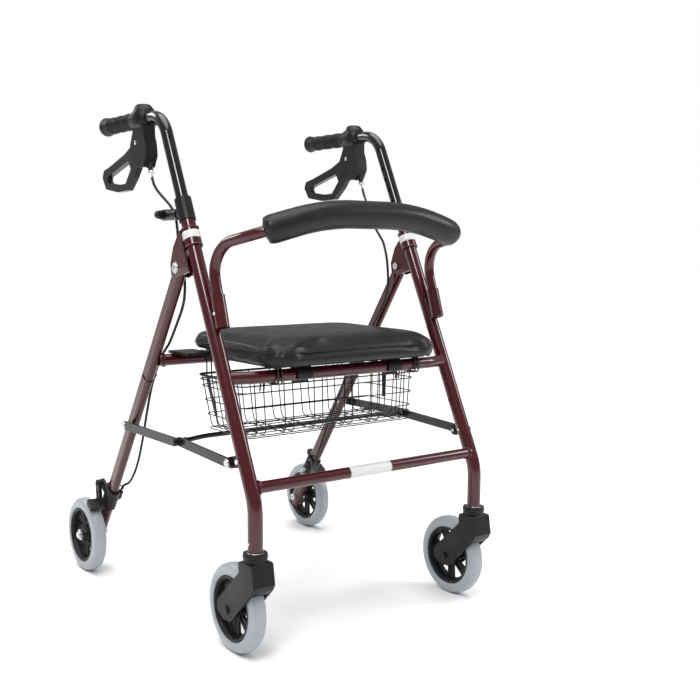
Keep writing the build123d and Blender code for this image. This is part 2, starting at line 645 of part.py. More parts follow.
def seat_pad():
    """Padded seat, a plain crowned solid."""
    depth = SEAT_BACK_Y - SEAT_FRONT_Y
    bottom = SEAT_BOTTOM_Z + BOARD_THICK
    face = RectangleRounded(2 * SEAT_HALF_WIDTH, depth, 42.0)
    pad = Pos(0, (SEAT_BACK_Y + SEAT_FRONT_Y) / 2, bottom) * extrude(face, SEAT_TOP_Z - bottom)
    return fillet(pad.faces().sort_by(Axis.Z)[-1].edges(), 14.0)


def seat_tabs():
    """Flat tabs at the board's rear corners that rest on the rear bar."""
    return [Pos(side * TAB_X, -23.0, SEAT_BOTTOM_Z + 5.5) * Box(50, 74, 5) for side in (-1, 1)]


def seat_clips():
    """Hinge clips that wrap the front rail, and the tabs that rest on the rear bar."""
    pieces = []
    for x in (-CLIP_X, CLIP_X):
        wrap = ring(x - 16, x + 16, RAIL_Y, RAIL_Z, RAIL_OD + 8.0, RAIL_OD + 2 * SMALL_GAP)
        mouth = Pos(x, RAIL_Y - 10, RAIL_Z - 16) * Box(40, 24, 16)
        foot = Pos(x, RAIL_Y + 14, SEAT_BOTTOM_Z - 2.5) * Box(32, 40, 5)
        clip = wrap - mouth + (foot - rod(-300, 300, RAIL_Y, RAIL_Z, RAIL_OD + 2 * SMALL_GAP))
        pieces.append(largest(clip))
    return Compound(children=pieces + seat_tabs())


def backrest_points():
    """Corner points of the backrest tube, side to side."""
    side = [(BACKREST_SIDE_X, socket_line(546.0)[1], 546.0),
            (BACKREST_SIDE_X, socket_line(676.0)[1], 676.0),
            (222.0, -291.0, 699.0),
            (95.0, -297.0, 733.0)]
    return side + [(-x, y, z) for x, y, z in reversed(side)]


def backrest_tube():
    """Bowed backrest tube standing in the sockets."""
    tube = pipe(backrest_points(), BACKREST_RADII, BACKREST_OD, BACKREST_OD - 2 * TUBE_WALL)
    y = socket_line(BACKREST_BUTTON_Z)[1]
    for side in (1, -1):
        tube = tube - rod(side * BACKREST_SIDE_X, side * (BACKREST_SIDE_X + 20), y, BACKREST_BUTTON_Z,
                          BUTTON_OD + 2 * SMALL_GAP)
    return tube


def backrest_foam():
    """Padded roll round the middle of the backrest tube."""
    roll = pipe(backrest_points(), BACKREST_RADII, FOAM_OD, BACKREST_OD)
    window = Pos(0, -290.0, 720.0) * Box(2 * FOAM_HALF_LENGTH, 200.0, 200.0)
    return largest(roll & window)


def snap_button(x_tip, y, z, x_base):
    """Sprung button: round pin with a domed tip and a wider foot inside its tube."""
    pin = rod(x_base, x_tip, y, z, BUTTON_OD)
    pin = fillet(pin.faces().sort_by(Axis.X)[-1].edges(), 1.8)
    return pin


# ---------------------------------------------------------------------- basket

def basket():
    """Tapered open basket with two hooks over the front rail."""
    thin = 2 * BASKET_WIRE
    floor_x, floor_y = BASKET_FLOOR_SIZE
    rim_x, rim_y = BASKET_RIM_SIZE
    outer = loft([Pos(0, BASKET_FLOOR_Y, BASKET_FLOOR_Z) * RectangleRounded(floor_x, floor_y, 14.0),
                  Pos(0, BASKET_RIM_Y, BASKET_RIM_Z) * RectangleRounded(rim_x, rim_y, 18.0)])
    floor = Pos(0, BASKET_FLOOR_Y, BASKET_FLOOR_Z + BASKET_WIRE)
    mouth = Pos(0, BASKET_RIM_Y, BASKET_RIM_Z + 0.01)
    inner = loft([floor * RectangleRounded(floor_x - thin, floor_y - thin, 12.0),
                  mouth * RectangleRounded(rim_x - thin, rim_y - thin, 16.0)])
    shell = outer - inner
    top = RAIL_Z + RAIL_OD / 2 + 2.0
    low = BASKET_RIM_Z - 2.0
    front = RAIL_Y - RAIL_OD / 2 - 2.5
    for x in (-HOOK_X, HOOK_X):
        hook = pipe([(x, BASKET_RIM_Y - 73.0, low), (x, front, low), (x, front, top),
                     (x, RAIL_Y + 2, top)], [3.2, 3.2], BASKET_WIRE)
        shell = shell + hook
    return shell


def basket_hangers():
    """Wire hangers looped on the rear bar: the basket's rear rim rests on their feet."""
    reach = REAR_BAR_OD / 2 + 2.0
    foot_z = BASKET_RIM_Z - 14.0
    pieces = []
    for x in (-HOOK_X, HOOK_X):
        points = [(x, REAR_BAR_Y + reach, REAR_BAR_Z - 6.0),
                  (x, REAR_BAR_Y + reach, REAR_BAR_Z + reach),
                  (x, REAR_BAR_Y - reach, REAR_BAR_Z + reach),
                  (x, REAR_BAR_Y - reach, foot_z),
                  (x, BASKET_RIM_Y + 81.0, foot_z)]
        pieces.append(pipe(points, [7.0, 7.0, 5.0], BASKET_WIRE))
    return Compound(children=[piece.solids()[0] for piece in pieces])


# ---------------------------------------------------------------------- cables

def arc_radii(points):
    """Largest tangent arc at each corner: 0.45 of the shorter run over tan of half the turn."""
    radii = []
    for before, here, after in zip(points, points[1:], points[2:]):
        first = Vector(*here) - Vector(*before)
        second = Vector(*after) - Vector(*here)
        half_turn = math.radians(first.get_angle(second)) / 2
        radii.append(0.45 * min(first.length, second.length) / math.tan(half_turn))
    return radii


def cable_upper():
    """Rigid first stretch of the brake cable below the lever housing's ferrule."""
    x = UPRIGHT_X
    points = [(x, HOUSING_Y - 30.6, 811.0), (x - 1, HOUSING_Y - 34.5, 799.0), (x - 2.5, 29.0, 788.0)]
    return pipe(points, arc_radii(points), CABLE_OD)


def cable_middle():
    """Brake cables along the uprights, between the handles and the fold pivots."""
    x = UPRIGHT_X - 19.0
    points = [(x, lean_y(716.0) + 12, 716.0), (x, lean_y(695.0) + 16, 695.0),
              (x + 1, lean_y(672.0) + 22, 672.0)]
    left = pipe(points, arc_radii(points), CABLE_OD)
    return Compound(children=[left.solids()[0], mirrored(left).solids()[0]])


def cable_lower():
    """Brake cable down the inner side of the rear leg to the brake's cable stop."""
    x = REAR_LEG_X - 16.5
    places = [(34.0, 8.0, 3.0), (74.0, 20.0, 1.0), (118.0, 22.0, 0.0), (162.0, 8.0, 0.0),
              (206.0, -3.0, 0.0), (262.0, -4.0, 0.0), (326.0, 3.0, 0.0), (390.0, 7.0, 0.0),
              (450.0, 2.0, 0.0), (505.0, 6.0, 0.0), (BRAKE_TOP + 7.9, 4.0, 0.0)]
    points = []
    for distance, forward, inward in places:
        y, z = leg_point(distance, forward)
        points.append((x - inward, y, z))
    return pipe(points, arc_radii(points), CABLE_OD)


# ---------------------------------------------------------------------- output

def both_sides(nodes, name, shape):
    """Add a left piece and its mirror image."""
    nodes[name + "_left"] = shape
    nodes[name + "_right"] = mirrored(shape)


def build():
    """All nodes by name."""
    nodes = {}
    both_sides(nodes, "upright", upright())
    nodes["front_crossbar"] = front_crossbar()
    nodes["front_seat_rail"] = front_seat_rail()
    both_sides(nodes, "tube_collar", tube_collar())
    both_sides(nodes, "brace_clip", brace_clip())
    nodes["frame_bolts"] = frame_bolts()
    both_sides(nodes, "height_knob", height_knob())
    both_sides(nodes, "rear_leg", rear_leg())
    nodes["rear_seat_bar"] = rear_seat_bar()
    nodes["leg_plugs"] = leg_plugs()
    nodes["rear_axles"] = rear_axles()
    both_sides(nodes, "brake_body", brake_body())
    both_sides(nodes, "brake_arm", brake_arm())
    nodes["rear_brace_bolts"] = rear_brace_bolts()
    both_sides(nodes, "front_brace", front_brace())
    both_sides(nodes, "rear_brace", rear_brace())
    nodes["brace_crossbar"] = brace_crossbar()
    both_sides(nodes, "caster_fork", caster_fork())
    both_sides(nodes, "front_tyre", tyre(UPRIGHT_X, FRONT_AXLE_Y))
    both_sides(nodes, "front_hub", hub(UPRIGHT_X, FRONT_AXLE_Y))
    both_sides(nodes, "rear_tyre", tyre(REAR_WHEEL_X, REAR_AXLE_Y))
    both_sides(nodes, "rear_hub", hub(REAR_WHEEL_X, REAR_AXLE_Y))
    both_sides(nodes, "handle_tube", handle_tube())
    both_sides(nodes, "grip", grip())
    both_sides(nodes, "brake_housing", brake_housing())
    both_sides(nodes, "brake_lever", brake_lever())
    nodes["seat_board"] = seat_board()
    nodes["seat_pad"] = seat_pad()
    nodes["seat_clips"] = seat_clips()
    nodes["backrest_tube"] = backrest_tube()
    nodes["backrest_foam"] = backrest_foam()
    both_sides(nodes, "caster_button", snap_button(UPRIGHT_X + UPRIGHT_OD / 2 + 2.5, STEM_Y,
                                                   CASTER_BUTTON_Z, UPRIGHT_X + 9.0))
    both_sides(nodes, "backrest_button", snap_button(
        BACKREST_SIDE_X + BACKREST_OD / 2 + 5.0, socket_line(BACKREST_BUTTON_Z)[1],
        BACKREST_BUTTON_Z, BACKREST_SIDE_X - 3.0))
    nodes["basket"] = basket()
    nodes["basket_hangers"] = basket_hangers()
    both_sides(nodes, "cable_upper", cable_upper())
    nodes["cable_middle"] = cable_middle()
    both_sides(nodes, "cable_lower", cable_lower())
    return nodes


os.makedirs("parts", exist_ok=True)
for node_name, node_shape in build().items():
    export_step(node_shape, f"parts/{node_name}.step")
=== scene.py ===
"""Looks of a folding four-wheel rollator walker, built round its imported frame.

Lengths are metres. Z is up, the walker rolls towards -Y, and its left side is +X. Each
sub-assembly is a class: its sizes are fields, and its methods make the meshes and dress them.
"""
import json
import logging
import math
from collections.abc import Callable
from dataclasses import dataclass, field
from enum import Enum

import bmesh
import bpy
import numpy as np
from mathutils import Matrix, Vector
from mathutils.bvhtree import BVHTree


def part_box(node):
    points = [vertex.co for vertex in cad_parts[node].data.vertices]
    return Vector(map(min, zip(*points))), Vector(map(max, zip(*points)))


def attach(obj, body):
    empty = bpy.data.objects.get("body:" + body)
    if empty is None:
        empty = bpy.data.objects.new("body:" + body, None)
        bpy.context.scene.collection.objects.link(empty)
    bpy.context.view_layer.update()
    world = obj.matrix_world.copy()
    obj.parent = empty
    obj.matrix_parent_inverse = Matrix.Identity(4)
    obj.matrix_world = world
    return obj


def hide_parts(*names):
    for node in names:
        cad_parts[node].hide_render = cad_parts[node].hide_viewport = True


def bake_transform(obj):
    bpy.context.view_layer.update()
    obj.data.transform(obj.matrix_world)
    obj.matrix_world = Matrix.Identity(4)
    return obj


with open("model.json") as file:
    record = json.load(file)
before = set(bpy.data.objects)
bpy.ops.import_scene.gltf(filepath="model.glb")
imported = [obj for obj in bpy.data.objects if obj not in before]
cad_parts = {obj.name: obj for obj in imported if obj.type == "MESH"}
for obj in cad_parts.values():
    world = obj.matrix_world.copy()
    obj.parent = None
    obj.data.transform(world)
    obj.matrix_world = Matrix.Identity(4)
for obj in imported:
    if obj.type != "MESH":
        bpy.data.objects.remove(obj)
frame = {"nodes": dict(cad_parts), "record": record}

logging.basicConfig(level=logging.INFO, format="%(message)s")
log = logging.getLogger("walker")

Point = tuple[float, float, float]
SIDES = {"left": 1.0, "right": -1.0}
X_AXIS: Point = (1.0, 0.0, 0.0)
Y_AXIS: Point = (0.0, 1.0, 0.0)
Z_AXIS: Point = (0.0, 0.0, 1.0)


# ------------------------------------------------------------------- frame sizes

@dataclass(frozen=True)
class FrameSizes:
    """Driving sizes of the tube frame, as the frame's own parts have them."""

    upright_x: float = 0.247
    upright_radius: float = 0.0127
    lean: float = 0.475
    lean_y0: float = -0.192
    lean_z0: float = 0.530
    stem_y: float = -0.319
    crossbar_y: float = -0.309
    crossbar_z: float = 0.288
    crossbar_radius: float = 0.010
    rail_y: float = -0.239
    rail_z: float = 0.458
    rail_radius: float = 0.011
    fold_y: float = -0.089
    fold_z: float = 0.640
    leg_x: float = 0.254
    rear_axle_y: float = 0.285
    axle_z: float = 0.076
    front_axle_y: float = -0.262
    rear_wheel_x: float = 0.283
    rear_bar_y: float = 0.003
    rear_bar_z: float = 0.4675
    rear_bar_radius: float = 0.011

    def lean_y(self, z: float) -> float:
        """Y of the upright's axis at height z on its leaning stretch."""
        return self.lean_y0 + self.lean * (z - self.lean_z0)

    def lean_direction(self) -> np.ndarray:
        """Unit vector up the leaning upright."""
        return unit(np.array([0.0, self.lean, 1.0]))

    def leg_point(self, distance: float, forward: float = 0.0) -> tuple[float, float]:
        """Place on the rear leg.

        Args:
            distance: length down the leg from the fold bolt.
            forward: offset ahead of the leg's axis.

        Returns:
            The point's y and z.
        """
        length = math.hypot(self.rear_axle_y - self.fold_y, self.fold_z - self.axle_z)
        along_y = (self.rear_axle_y - self.fold_y) / length
        along_z = (self.axle_z - self.fold_z) / length
        return (self.fold_y + along_y * distance + along_z * forward,
                self.fold_z + along_z * distance - along_y * forward)


SIZES = FrameSizes()
CABLE_INSET = 0.0165


# ---------------------------------------------------------------- surface helpers

def unit(vectors: np.ndarray) -> np.ndarray:
    """Vectors scaled to length one along the last axis."""
    return vectors / np.maximum(np.linalg.norm(vectors, axis=-1, keepdims=True), 1e-12)


def around(count: int) -> np.ndarray:
    """Angles evenly round a circle, the first at zero."""
    return np.linspace(0.0, 2 * np.pi, count, endpoint=False)


def in_plane(angle: np.ndarray, across: np.ndarray, other: np.ndarray) -> np.ndarray:
    """Points of the unit circle at the angles, in the plane of two directions."""
    return np.cos(angle)[..., None] * across + np.sin(angle)[..., None] * other


def facing(side: float, face: float, rows: list[tuple[float, float]]) -> np.ndarray:
    """Profile rows (outward from a face, radius) as (along, radius) for one side's face."""
    return np.array([(side * (face + out), radius) for out, radius in rows])


@dataclass
class Shell:
    """Points and faces gathered for one mesh."""

    points: list[np.ndarray] = field(default_factory=list)
    faces: list[np.ndarray] = field(default_factory=list)
    count: int = 0

    def add(self, points: np.ndarray, *faces: np.ndarray) -> None:
        """Adds points, and faces that count from the first of them.

        Args:
            points: an array of shape (n, 3).
            faces: arrays of three or four indices a row.
        """
        self.points.append(points)
        self.faces.extend(face + self.count for face in faces)
        self.count += len(points)

    def grid(self, points: np.ndarray, ring: bool = True, closed: bool = False, caps: bool = True) -> None:
        """Adds a grid of quads.

        Args:
            points: an array of shape (rows, columns, 3).
            ring: whether the last column joins the first.
            closed: whether the last row joins the first.
            caps: whether the first and last rows are closed with fans.
        """
        rows, columns = points.shape[:2]
        index = np.arange(rows * columns).reshape(rows, columns)
        if ring:
            index = np.hstack([index, index[:, :1]])
        if closed:
            index = np.vstack([index, index[:1]])
        quads = np.stack([index[:-1, :-1], index[:-1, 1:], index[1:, 1:], index[1:, :-1]], axis=-1)
        flat = points.reshape(-1, 3)
        if closed or not caps or not ring:
            self.add(flat, quads.reshape(-1, 4))
            return
        centres = np.array([points[0].mean(axis=0), points[-1].mean(axis=0)])
        first = np.full(columns, rows * columns)
        start = np.stack([first, index[0, 1:], index[0, :-1]], axis=-1)
        end = np.stack([first + 1, index[rows - 1, :-1], index[rows - 1, 1:]], axis=-1)
        self.add(np.vstack([flat, centres]), quads.reshape(-1, 4), start, end)

    def build(self, name: str, outward: bool = True) -> bpy.types.Object:
        """Turns the gathered surface into an object.

        Args:
            name: the piece's name.
            outward: whether the normals of a closed form are made to point out.

        Returns:
            The new object, at the origin.
        """
        mesh = bpy.data.meshes.new(name)
        vertices = np.vstack(self.points).astype(np.float32)
        totals = np.concatenate([np.full(len(face), face.shape[1]) for face in self.faces])
        corners = np.concatenate([face.ravel() for face in self.faces])
        mesh.vertices.add(len(vertices))
        mesh.vertices.foreach_set("co", vertices.ravel())
        mesh.loops.add(len(corners))
        mesh.loops.foreach_set("vertex_index", corners.astype(np.int32))
        mesh.polygons.add(len(totals))
        mesh.polygons.foreach_set("loop_start", (np.cumsum(totals) - totals).astype(np.int32))
        mesh.polygons.foreach_set("loop_total", totals.astype(np.int32))
        mesh.update(calc_edges=True)
        mesh.validate()
        if outward:
            turn_outward(mesh)
        mesh.shade_smooth()
        piece = bpy.data.objects.new(name, mesh)
        bpy.context.scene.collection.objects.link(piece)
        return piece


def turn_outward(mesh: bpy.types.Mesh) -> None:
    """Merges doubles and makes the normals of each closed form point out."""
    work = bmesh.new()
    work.from_mesh(mesh)
    bmesh.ops.remove_doubles(work, verts=work.verts, dist=1e-6)
    bmesh.ops.recalc_face_normals(work, faces=work.faces)
    work.to_mesh(mesh)
    work.free()


def spline(points: list[Point] | np.ndarray, samples: int, degree: int = 3) -> np.ndarray:
    """Clamped B-spline: a sum of the control points, each times its Cox-de Boor basis function.

    Args:
        points: control points.
        samples: how many points to work out.
        degree: the spline's degree.

    Returns:
        An array of shape (samples, 3).
    """
    control = np.asarray(points, float)
    inner = np.linspace(0.0, 1.0, len(control) - degree + 1)
    knots = np.concatenate([np.zeros(degree), inner, np.ones(degree)])
    t = np.linspace(0.0, 1.0 - 1e-9, samples)[:, None]
    basis = ((knots[:-1] <= t) & (t < knots[1:])).astype(float)
    for order in range(1, degree + 1):
        low = knots[order:-1] - knots[:-order - 1]
        high = knots[order + 1:] - knots[1:-order]
        rising = np.divide(t - knots[:-order - 1], low, out=np.zeros((samples, len(low))), where=low > 0)
        falling = np.divide(knots[order + 1:] - t, high, out=np.zeros((samples, len(high))), where=high > 0)
        basis = rising * basis[:, :-1] + falling * basis[:, 1:]
    return basis @ control


def rounded_run(points: list[Point], radius: float, steps: int = 6) -> np.ndarray:
    """Bent wire: straight runs whose corners are replaced by a quadratic blend.

    Args:
        points: the corners.
        radius: how far from a corner its bend starts.
        steps: points in each bend.

    Returns:
        An array of points along the wire.
    """
    corners = np.asarray(points, float)
    before = unit(corners[:-2] - corners[1:-1])
    after = unit(corners[2:] - corners[1:-1])
    middle = corners[1:-1]
    shortest = np.minimum(np.linalg.norm(corners[:-2] - middle, axis=1),
                          np.linalg.norm(corners[2:] - middle, axis=1))
    reach = np.minimum(radius, 0.45 * shortest)[:, None]
    t = np.linspace(0.0, 1.0, steps)[None, :, None]
    entry = (middle + before * reach)[:, None, :]
    leave = (middle + after * reach)[:, None, :]
    bends = (1 - t) ** 2 * entry + 2 * t * (1 - t) * middle[:, None, :] + t ** 2 * leave
    return np.vstack([corners[:1], bends.reshape(-1, 3), corners[-1:]])


def sweep(shell: Shell, path: np.ndarray, radius: float | np.ndarray, sides: int = 10,
          reference: Point = X_AXIS, closed: bool = False) -> None:
    """Tube: at each path point a circle in the plane across the path.

    Args:
        shell: the shell that takes the surface.
        path: points along the middle.
        radius: one radius, or one a point.
        sides: points round the circle.
        reference: direction that the first point of each circle faces.
        closed: whether the path is a loop.
    """
    if closed:
        tangent = unit(np.roll(path, -1, axis=0) - np.roll(path, 1, axis=0))
    else:
        tangent = unit(np.gradient(path, axis=0))
    guide = np.broadcast_to(np.asarray(reference, float), path.shape)
    normal = unit(guide - np.sum(guide * tangent, axis=1, keepdims=True) * tangent)
    side = np.cross(tangent, normal)
    angle = around(sides)
    rim = np.cos(angle)[None, :, None] * normal[:, None] + np.sin(angle)[None, :, None] * side[:, None]
    size = np.broadcast_to(np.asarray(radius, float), (len(path),))[:, None, None]
    shell.grid(path[:, None, :] + size * rim, closed=closed)


def turned(shell: Shell, centre: Point, axis: Point, profile: np.ndarray, sides: int = 48,
           ripple: Callable[[np.ndarray, np.ndarray], np.ndarray] | None = None,
           closed: bool = False) -> None:
    """Turned form: a profile of (along, radius) carried round an axis.

    Args:
        shell: the shell that takes the surface.
        centre: the point where along is zero.
        axis: the direction of the axis.
        profile: rows of distance along the axis and radius.
        sides: points round the axis.
        ripple: adds to the radius, from the angle and the distance along.
        closed: whether the profile is a loop, as on a ring.
    """
    forward = unit(np.asarray(axis, float))
    across = unit(np.cross(forward, [0.0, 0.6, 0.8] if abs(forward[0]) > 0.9 else X_AXIS))
    other = np.cross(forward, across)
    angle = around(sides)[None, :, None]
    along = profile[:, 0][:, None, None]
    radius = profile[:, 1][:, None, None]
    if ripple is not None:
        radius = radius + ripple(angle, along)
    rim = np.cos(angle) * across + np.sin(angle) * other
    shell.grid(np.asarray(centre) + along * forward + radius * rim, closed=closed)


def rounded_outline(half_x: float, half_y: float, corner: float, samples: int) -> np.ndarray:
    """Rounded rectangle: a quarter circle about each corner's centre, joined by straight sides.

    Args:
        half_x: half of the width.
        half_y: half of the depth.
        corner: the corners' radius.
        samples: how many points, a multiple of four.

    Returns:
        An array of (x, y) rows.
    """
    quarter = samples // 4
    angle = np.linspace(0.0, np.pi / 2, quarter)
    turns = angle[None, :] + np.arange(4)[:, None] * np.pi / 2
    middle = np.pi / 4 + np.arange(4) * np.pi / 2
    centre_x = np.sign(np.cos(middle))[:, None] * (half_x - corner)
    centre_y = np.sign(np.sin(middle))[:, None] * (half_y - corner)
    rows = np.stack([centre_x + corner * np.cos(turns), centre_y + corner * np.sin(turns)], -1)
    return rows.reshape(-1, 2)


# ------------------------------------------------------------------------ finishes

class Pattern(Enum):
    """The surface pattern that a finish carries."""

    GRAIN = "grain"
    LEATHER = "leather"
    BRUSHED = "brushed"
    WRAP = "wrap"


@dataclass(frozen=True)
class Finish:
    """One finish of the walker: its colours, gloss and surface pattern."""

    name: str
    colour: tuple[float, float, float]
    # shade: darker tone, random in the grain and brushed patterns, painted shade in the creases and grooves
    # of the leather and wrap patterns
    shade: tuple[float, float, float]
    rough: tuple[float, float] = (0.3, 0.45)
    metallic: float = 0.0
    coat: float = 0.0
    coat_rough: float = 0.05
    pattern: Pattern = Pattern.GRAIN
    scale: float = 900.0
    height: float = 0.0001
    dust: float = 0.12
    specular: float = 0.5

    def material(self) -> bpy.types.Material:
        """The finish's material, built once."""
        found = bpy.data.materials.get("finish_" + self.name)
        return found if found else MaterialMaker(self).make()


BURGUNDY = Finish("burgundy_paint", (0.056, 0.0018, 0.0055), (0.044, 0.0014, 0.0042), (0.22, 0.32),
                  coat=0.7, coat_rough=0.03, scale=420.0, height=0.00002, dust=0.0, specular=0.2)
GLOSS_BLACK = Finish("gloss_black_paint", (0.005, 0.005, 0.0055), (0.003, 0.003, 0.0035), (0.14, 0.24),
                     coat=0.8, coat_rough=0.04, scale=420.0, height=0.00001, dust=0.0, specular=0.2)
MOULDED = Finish("moulded_black", (0.009, 0.009, 0.0095), (0.006, 0.006, 0.0065), (0.34, 0.48),
                 scale=1500.0, height=0.00009, dust=0.02, specular=0.24)
SATIN_LEVER = Finish("satin_lever", (0.012, 0.012, 0.013), (0.008, 0.008, 0.0085), (0.26, 0.38),
                     coat=0.15, scale=1500.0, height=0.00005, dust=0.01, specular=0.24)
SATIN_STEEL = Finish("black_brace_paint", (0.008, 0.008, 0.009), (0.005, 0.005, 0.0055), (0.26, 0.38),
                     coat=0.3, coat_rough=0.12, scale=500.0, height=0.00004, dust=0.01, specular=0.22)
TYRE_GREY = Finish("grey_tyre", (0.335, 0.365, 0.400), (0.285, 0.312, 0.345), (0.34, 0.50),
                   coat=0.35, coat_rough=0.18, scale=700.0, height=0.00006, dust=0.05)
GRIP_RUBBER = Finish("grip_rubber", (0.010, 0.010, 0.011), (0.007, 0.007, 0.0075), (0.42, 0.56),
                     scale=1300.0, height=0.00014, dust=0.02, specular=0.22)
BRIGHT_ZINC = Finish("bright_zinc", (0.66, 0.66, 0.68), (0.54, 0.54, 0.56), (0.16, 0.30), metallic=1.0,
                     pattern=Pattern.BRUSHED, scale=1200.0, height=0.00003, dust=0.02)
VINYL = Finish("black_vinyl", (0.007, 0.007, 0.0075), (0.004, 0.004, 0.004), (0.36, 0.50), coat=0.22,
               coat_rough=0.25, pattern=Pattern.LEATHER, scale=620.0, height=0.00014, dust=0.0,
               specular=0.2)
THREAD = Finish("black_thread", (0.030, 0.030, 0.032), (0.018, 0.018, 0.018), (0.5, 0.7),
                pattern=Pattern.WRAP, scale=1800.0, height=0.00010)
BLACK_WIRE = Finish("black_wire", (0.010, 0.010, 0.010), (0.006, 0.006, 0.006), (0.26, 0.40), coat=0.25,
                    coat_rough=0.2, scale=900.0, height=0.00003, dust=0.0, specular=0.25)
CABLE_SHEATH = Finish("cable_sheath", (0.014, 0.014, 0.015), (0.009, 0.009, 0.010), (0.30, 0.44), coat=0.1,
                      pattern=Pattern.WRAP, scale=700.0, height=0.00003, dust=0.0, specular=0.25)
CABLE_STEEL = Finish("cable_steel", (0.42, 0.42, 0.44), (0.30, 0.30, 0.31), (0.25, 0.4), metallic=1.0,
                     pattern=Pattern.WRAP, scale=2200.0, height=0.00006, dust=0.0)
WEBBING = Finish("black_webbing", (0.016, 0.016, 0.017), (0.009, 0.009, 0.009), (0.6, 0.8),
                 pattern=Pattern.WRAP, scale=1400.0, height=0.00020)
BLANK_LABEL = Finish("blank_label", (0.66, 0.66, 0.66), (0.60, 0.60, 0.61), (0.30, 0.42), coat=0.3,
                     scale=300.0, height=0.00002, dust=0.05)

SLOT_FINISHES = {
    "burgundy_tube": BURGUNDY,
    "black_metal": SATIN_STEEL,
    "black_plastic": MOULDED,
    "gloss_plastic": SATIN_LEVER,
    "grey_tyre": TYRE_GREY,
    "grip_rubber": GRIP_RUBBER,
    "bright_steel": BRIGHT_ZINC,
    "seat_vinyl": VINYL,
    "black_wire": BLACK_WIRE,
    "cable_sheath": CABLE_SHEATH,
}


class GroupMaker:
    """Builds one shared shader node group with named inputs and outputs."""

    def __init__(self, name: str, inputs: dict[str, str], outputs: dict[str, str]) -> None:
        """Starts a group.

        Args:
            name: the group's name.
            inputs: socket names with their types.
            outputs: socket names with their types.
        """
        self.tree = bpy.data.node_groups.new(name, "ShaderNodeTree")
        for socket, kind in inputs.items():
            self.tree.interface.new_socket(socket, in_out="INPUT", socket_type=kind)
        for socket, kind in outputs.items():
            self.tree.interface.new_socket(socket, in_out="OUTPUT", socket_type=kind)
        self.source = self.tree.nodes.new("NodeGroupInput").outputs
        self.result = self.tree.nodes.new("NodeGroupOutput").inputs

    def link(self, start: bpy.types.NodeSocket, end: bpy.types.NodeSocket) -> None:
        """Joins two sockets."""
        self.tree.links.new(start, end)

    def noise(self, scale: bpy.types.NodeSocket | float, detail: float, share: float = 1.0,
              vector: bpy.types.NodeSocket | None = None) -> bpy.types.NodeSocket:
        """Adds a noise texture.

        Args:
            scale: a number, or the socket that gives it.
            detail: how many finer layers it has.
            share: what the scale is multiplied by.
            vector: the place it reads, or the group's own Vector.

        Returns:
            The factor output.
        """
        node = self.tree.nodes.new("ShaderNodeTexNoise")
        node.inputs["Detail"].default_value = detail
        self.link(vector or self.source["Vector"], node.inputs["Vector"])
        if isinstance(scale, float):
            node.inputs["Scale"].default_value = scale * share
        else:
            self.link(self.maths("MULTIPLY", scale, share), node.inputs["Scale"])
        return node.outputs["Fac"]

    def maths(self, operation: str, first: bpy.types.NodeSocket,
              second: bpy.types.NodeSocket | float) -> bpy.types.NodeSocket:
        """Adds a Math node.

        Args:
            operation: its name in Blender.
            first: the first value.
            second: the second value, a number or a socket.

        Returns:
            The result.
        """
        node = self.tree.nodes.new("ShaderNodeMath")
        node.operation = operation
        self.link(first, node.inputs[0])
        if isinstance(second, float):
            node.inputs[1].default_value = second
        else:
            self.link(second, node.inputs[1])
        return node.outputs[0]

    def spread(self, value: bpy.types.NodeSocket, low: float, high: float) -> bpy.types.NodeSocket:
        """Stretches a value's range from low..high to 0..1, and clamps it."""
        node = self.tree.nodes.new("ShaderNodeMapRange")
        node.inputs["From Min"].default_value = low
        node.inputs["From Max"].default_value = high
        self.link(value, node.inputs["Value"])
        return node.outputs["Result"]

    def mix(self, factor: bpy.types.NodeSocket, first: bpy.types.NodeSocket, second: bpy.types.NodeSocket,
            kind: str = "RGBA") -> bpy.types.NodeSocket:
        """Mixes two colours or numbers by a factor."""
        node = self.tree.nodes.new("ShaderNodeMix")
        node.data_type = kind
        ends = {"RGBA": ("A_Color", "B_Color", "Result_Color"),
                "FLOAT": ("A_Float", "B_Float", "Result_Float")}
        names = ends[kind]
        inputs = {socket.identifier: socket for socket in node.inputs}
        outputs = {socket.identifier: socket for socket in node.outputs}
        self.link(factor, inputs["Factor_Float"])
        self.link(first, inputs[names[0]])
        self.link(second, inputs[names[1]])
        return outputs[names[2]]

    def outcome(self, tint: bpy.types.NodeSocket, colours: tuple[str, str], wear: bpy.types.NodeSocket,
                roughs: tuple[str, str], height: bpy.types.NodeSocket) -> bpy.types.NodeTree:
        """Sets a pattern's three outputs.

        Args:
            tint: factor between the two colours.
            colours: the inputs it runs between.
            wear: factor between the two roughnesses.
            roughs: the inputs it runs between.
            height: the relief.

        Returns:
            The group's tree.
        """
        colour = self.mix(tint, self.source[colours[0]], self.source[colours[1]])
        rough = self.mix(wear, self.source[roughs[0]], self.source[roughs[1]], "FLOAT")
        for socket, name in ((colour, "Colour"), (rough, "Roughness"), (height, "Height")):
            self.link(socket, self.result[name])
        return self.tree


COLOUR_ENDS = ("Colour", "Shade")
ROUGH_ENDS = ("Smooth", "Rough")
PATTERN_INPUTS = {"Vector": "NodeSocketVector", "Scale": "NodeSocketFloat", "Colour": "NodeSocketColor",
                  "Shade": "NodeSocketColor", "Smooth": "NodeSocketFloat", "Rough": "NodeSocketFloat"}
PATTERN_OUTPUTS = {"Colour": "NodeSocketColor", "Roughness": "NodeSocketFloat", "Height": "NodeSocketFloat"}


def grain_group() -> bpy.types.NodeTree:
    """Moulded or painted grain: fine noise for relief, and broad noise for handling marks."""
    group = GroupMaker("surface_grain", PATTERN_INPUTS, PATTERN_OUTPUTS)
    fine = group.noise(group.source["Scale"], 4.0)
    broad = group.spread(group.noise(14.0, 5.0), 0.35, 0.68)
    both = group.maths("MULTIPLY", group.maths("ADD", broad, group.spread(fine, 0.3, 0.7)), 0.5)
    return group.outcome(both, COLOUR_ENDS, broad, ROUGH_ENDS, fine)


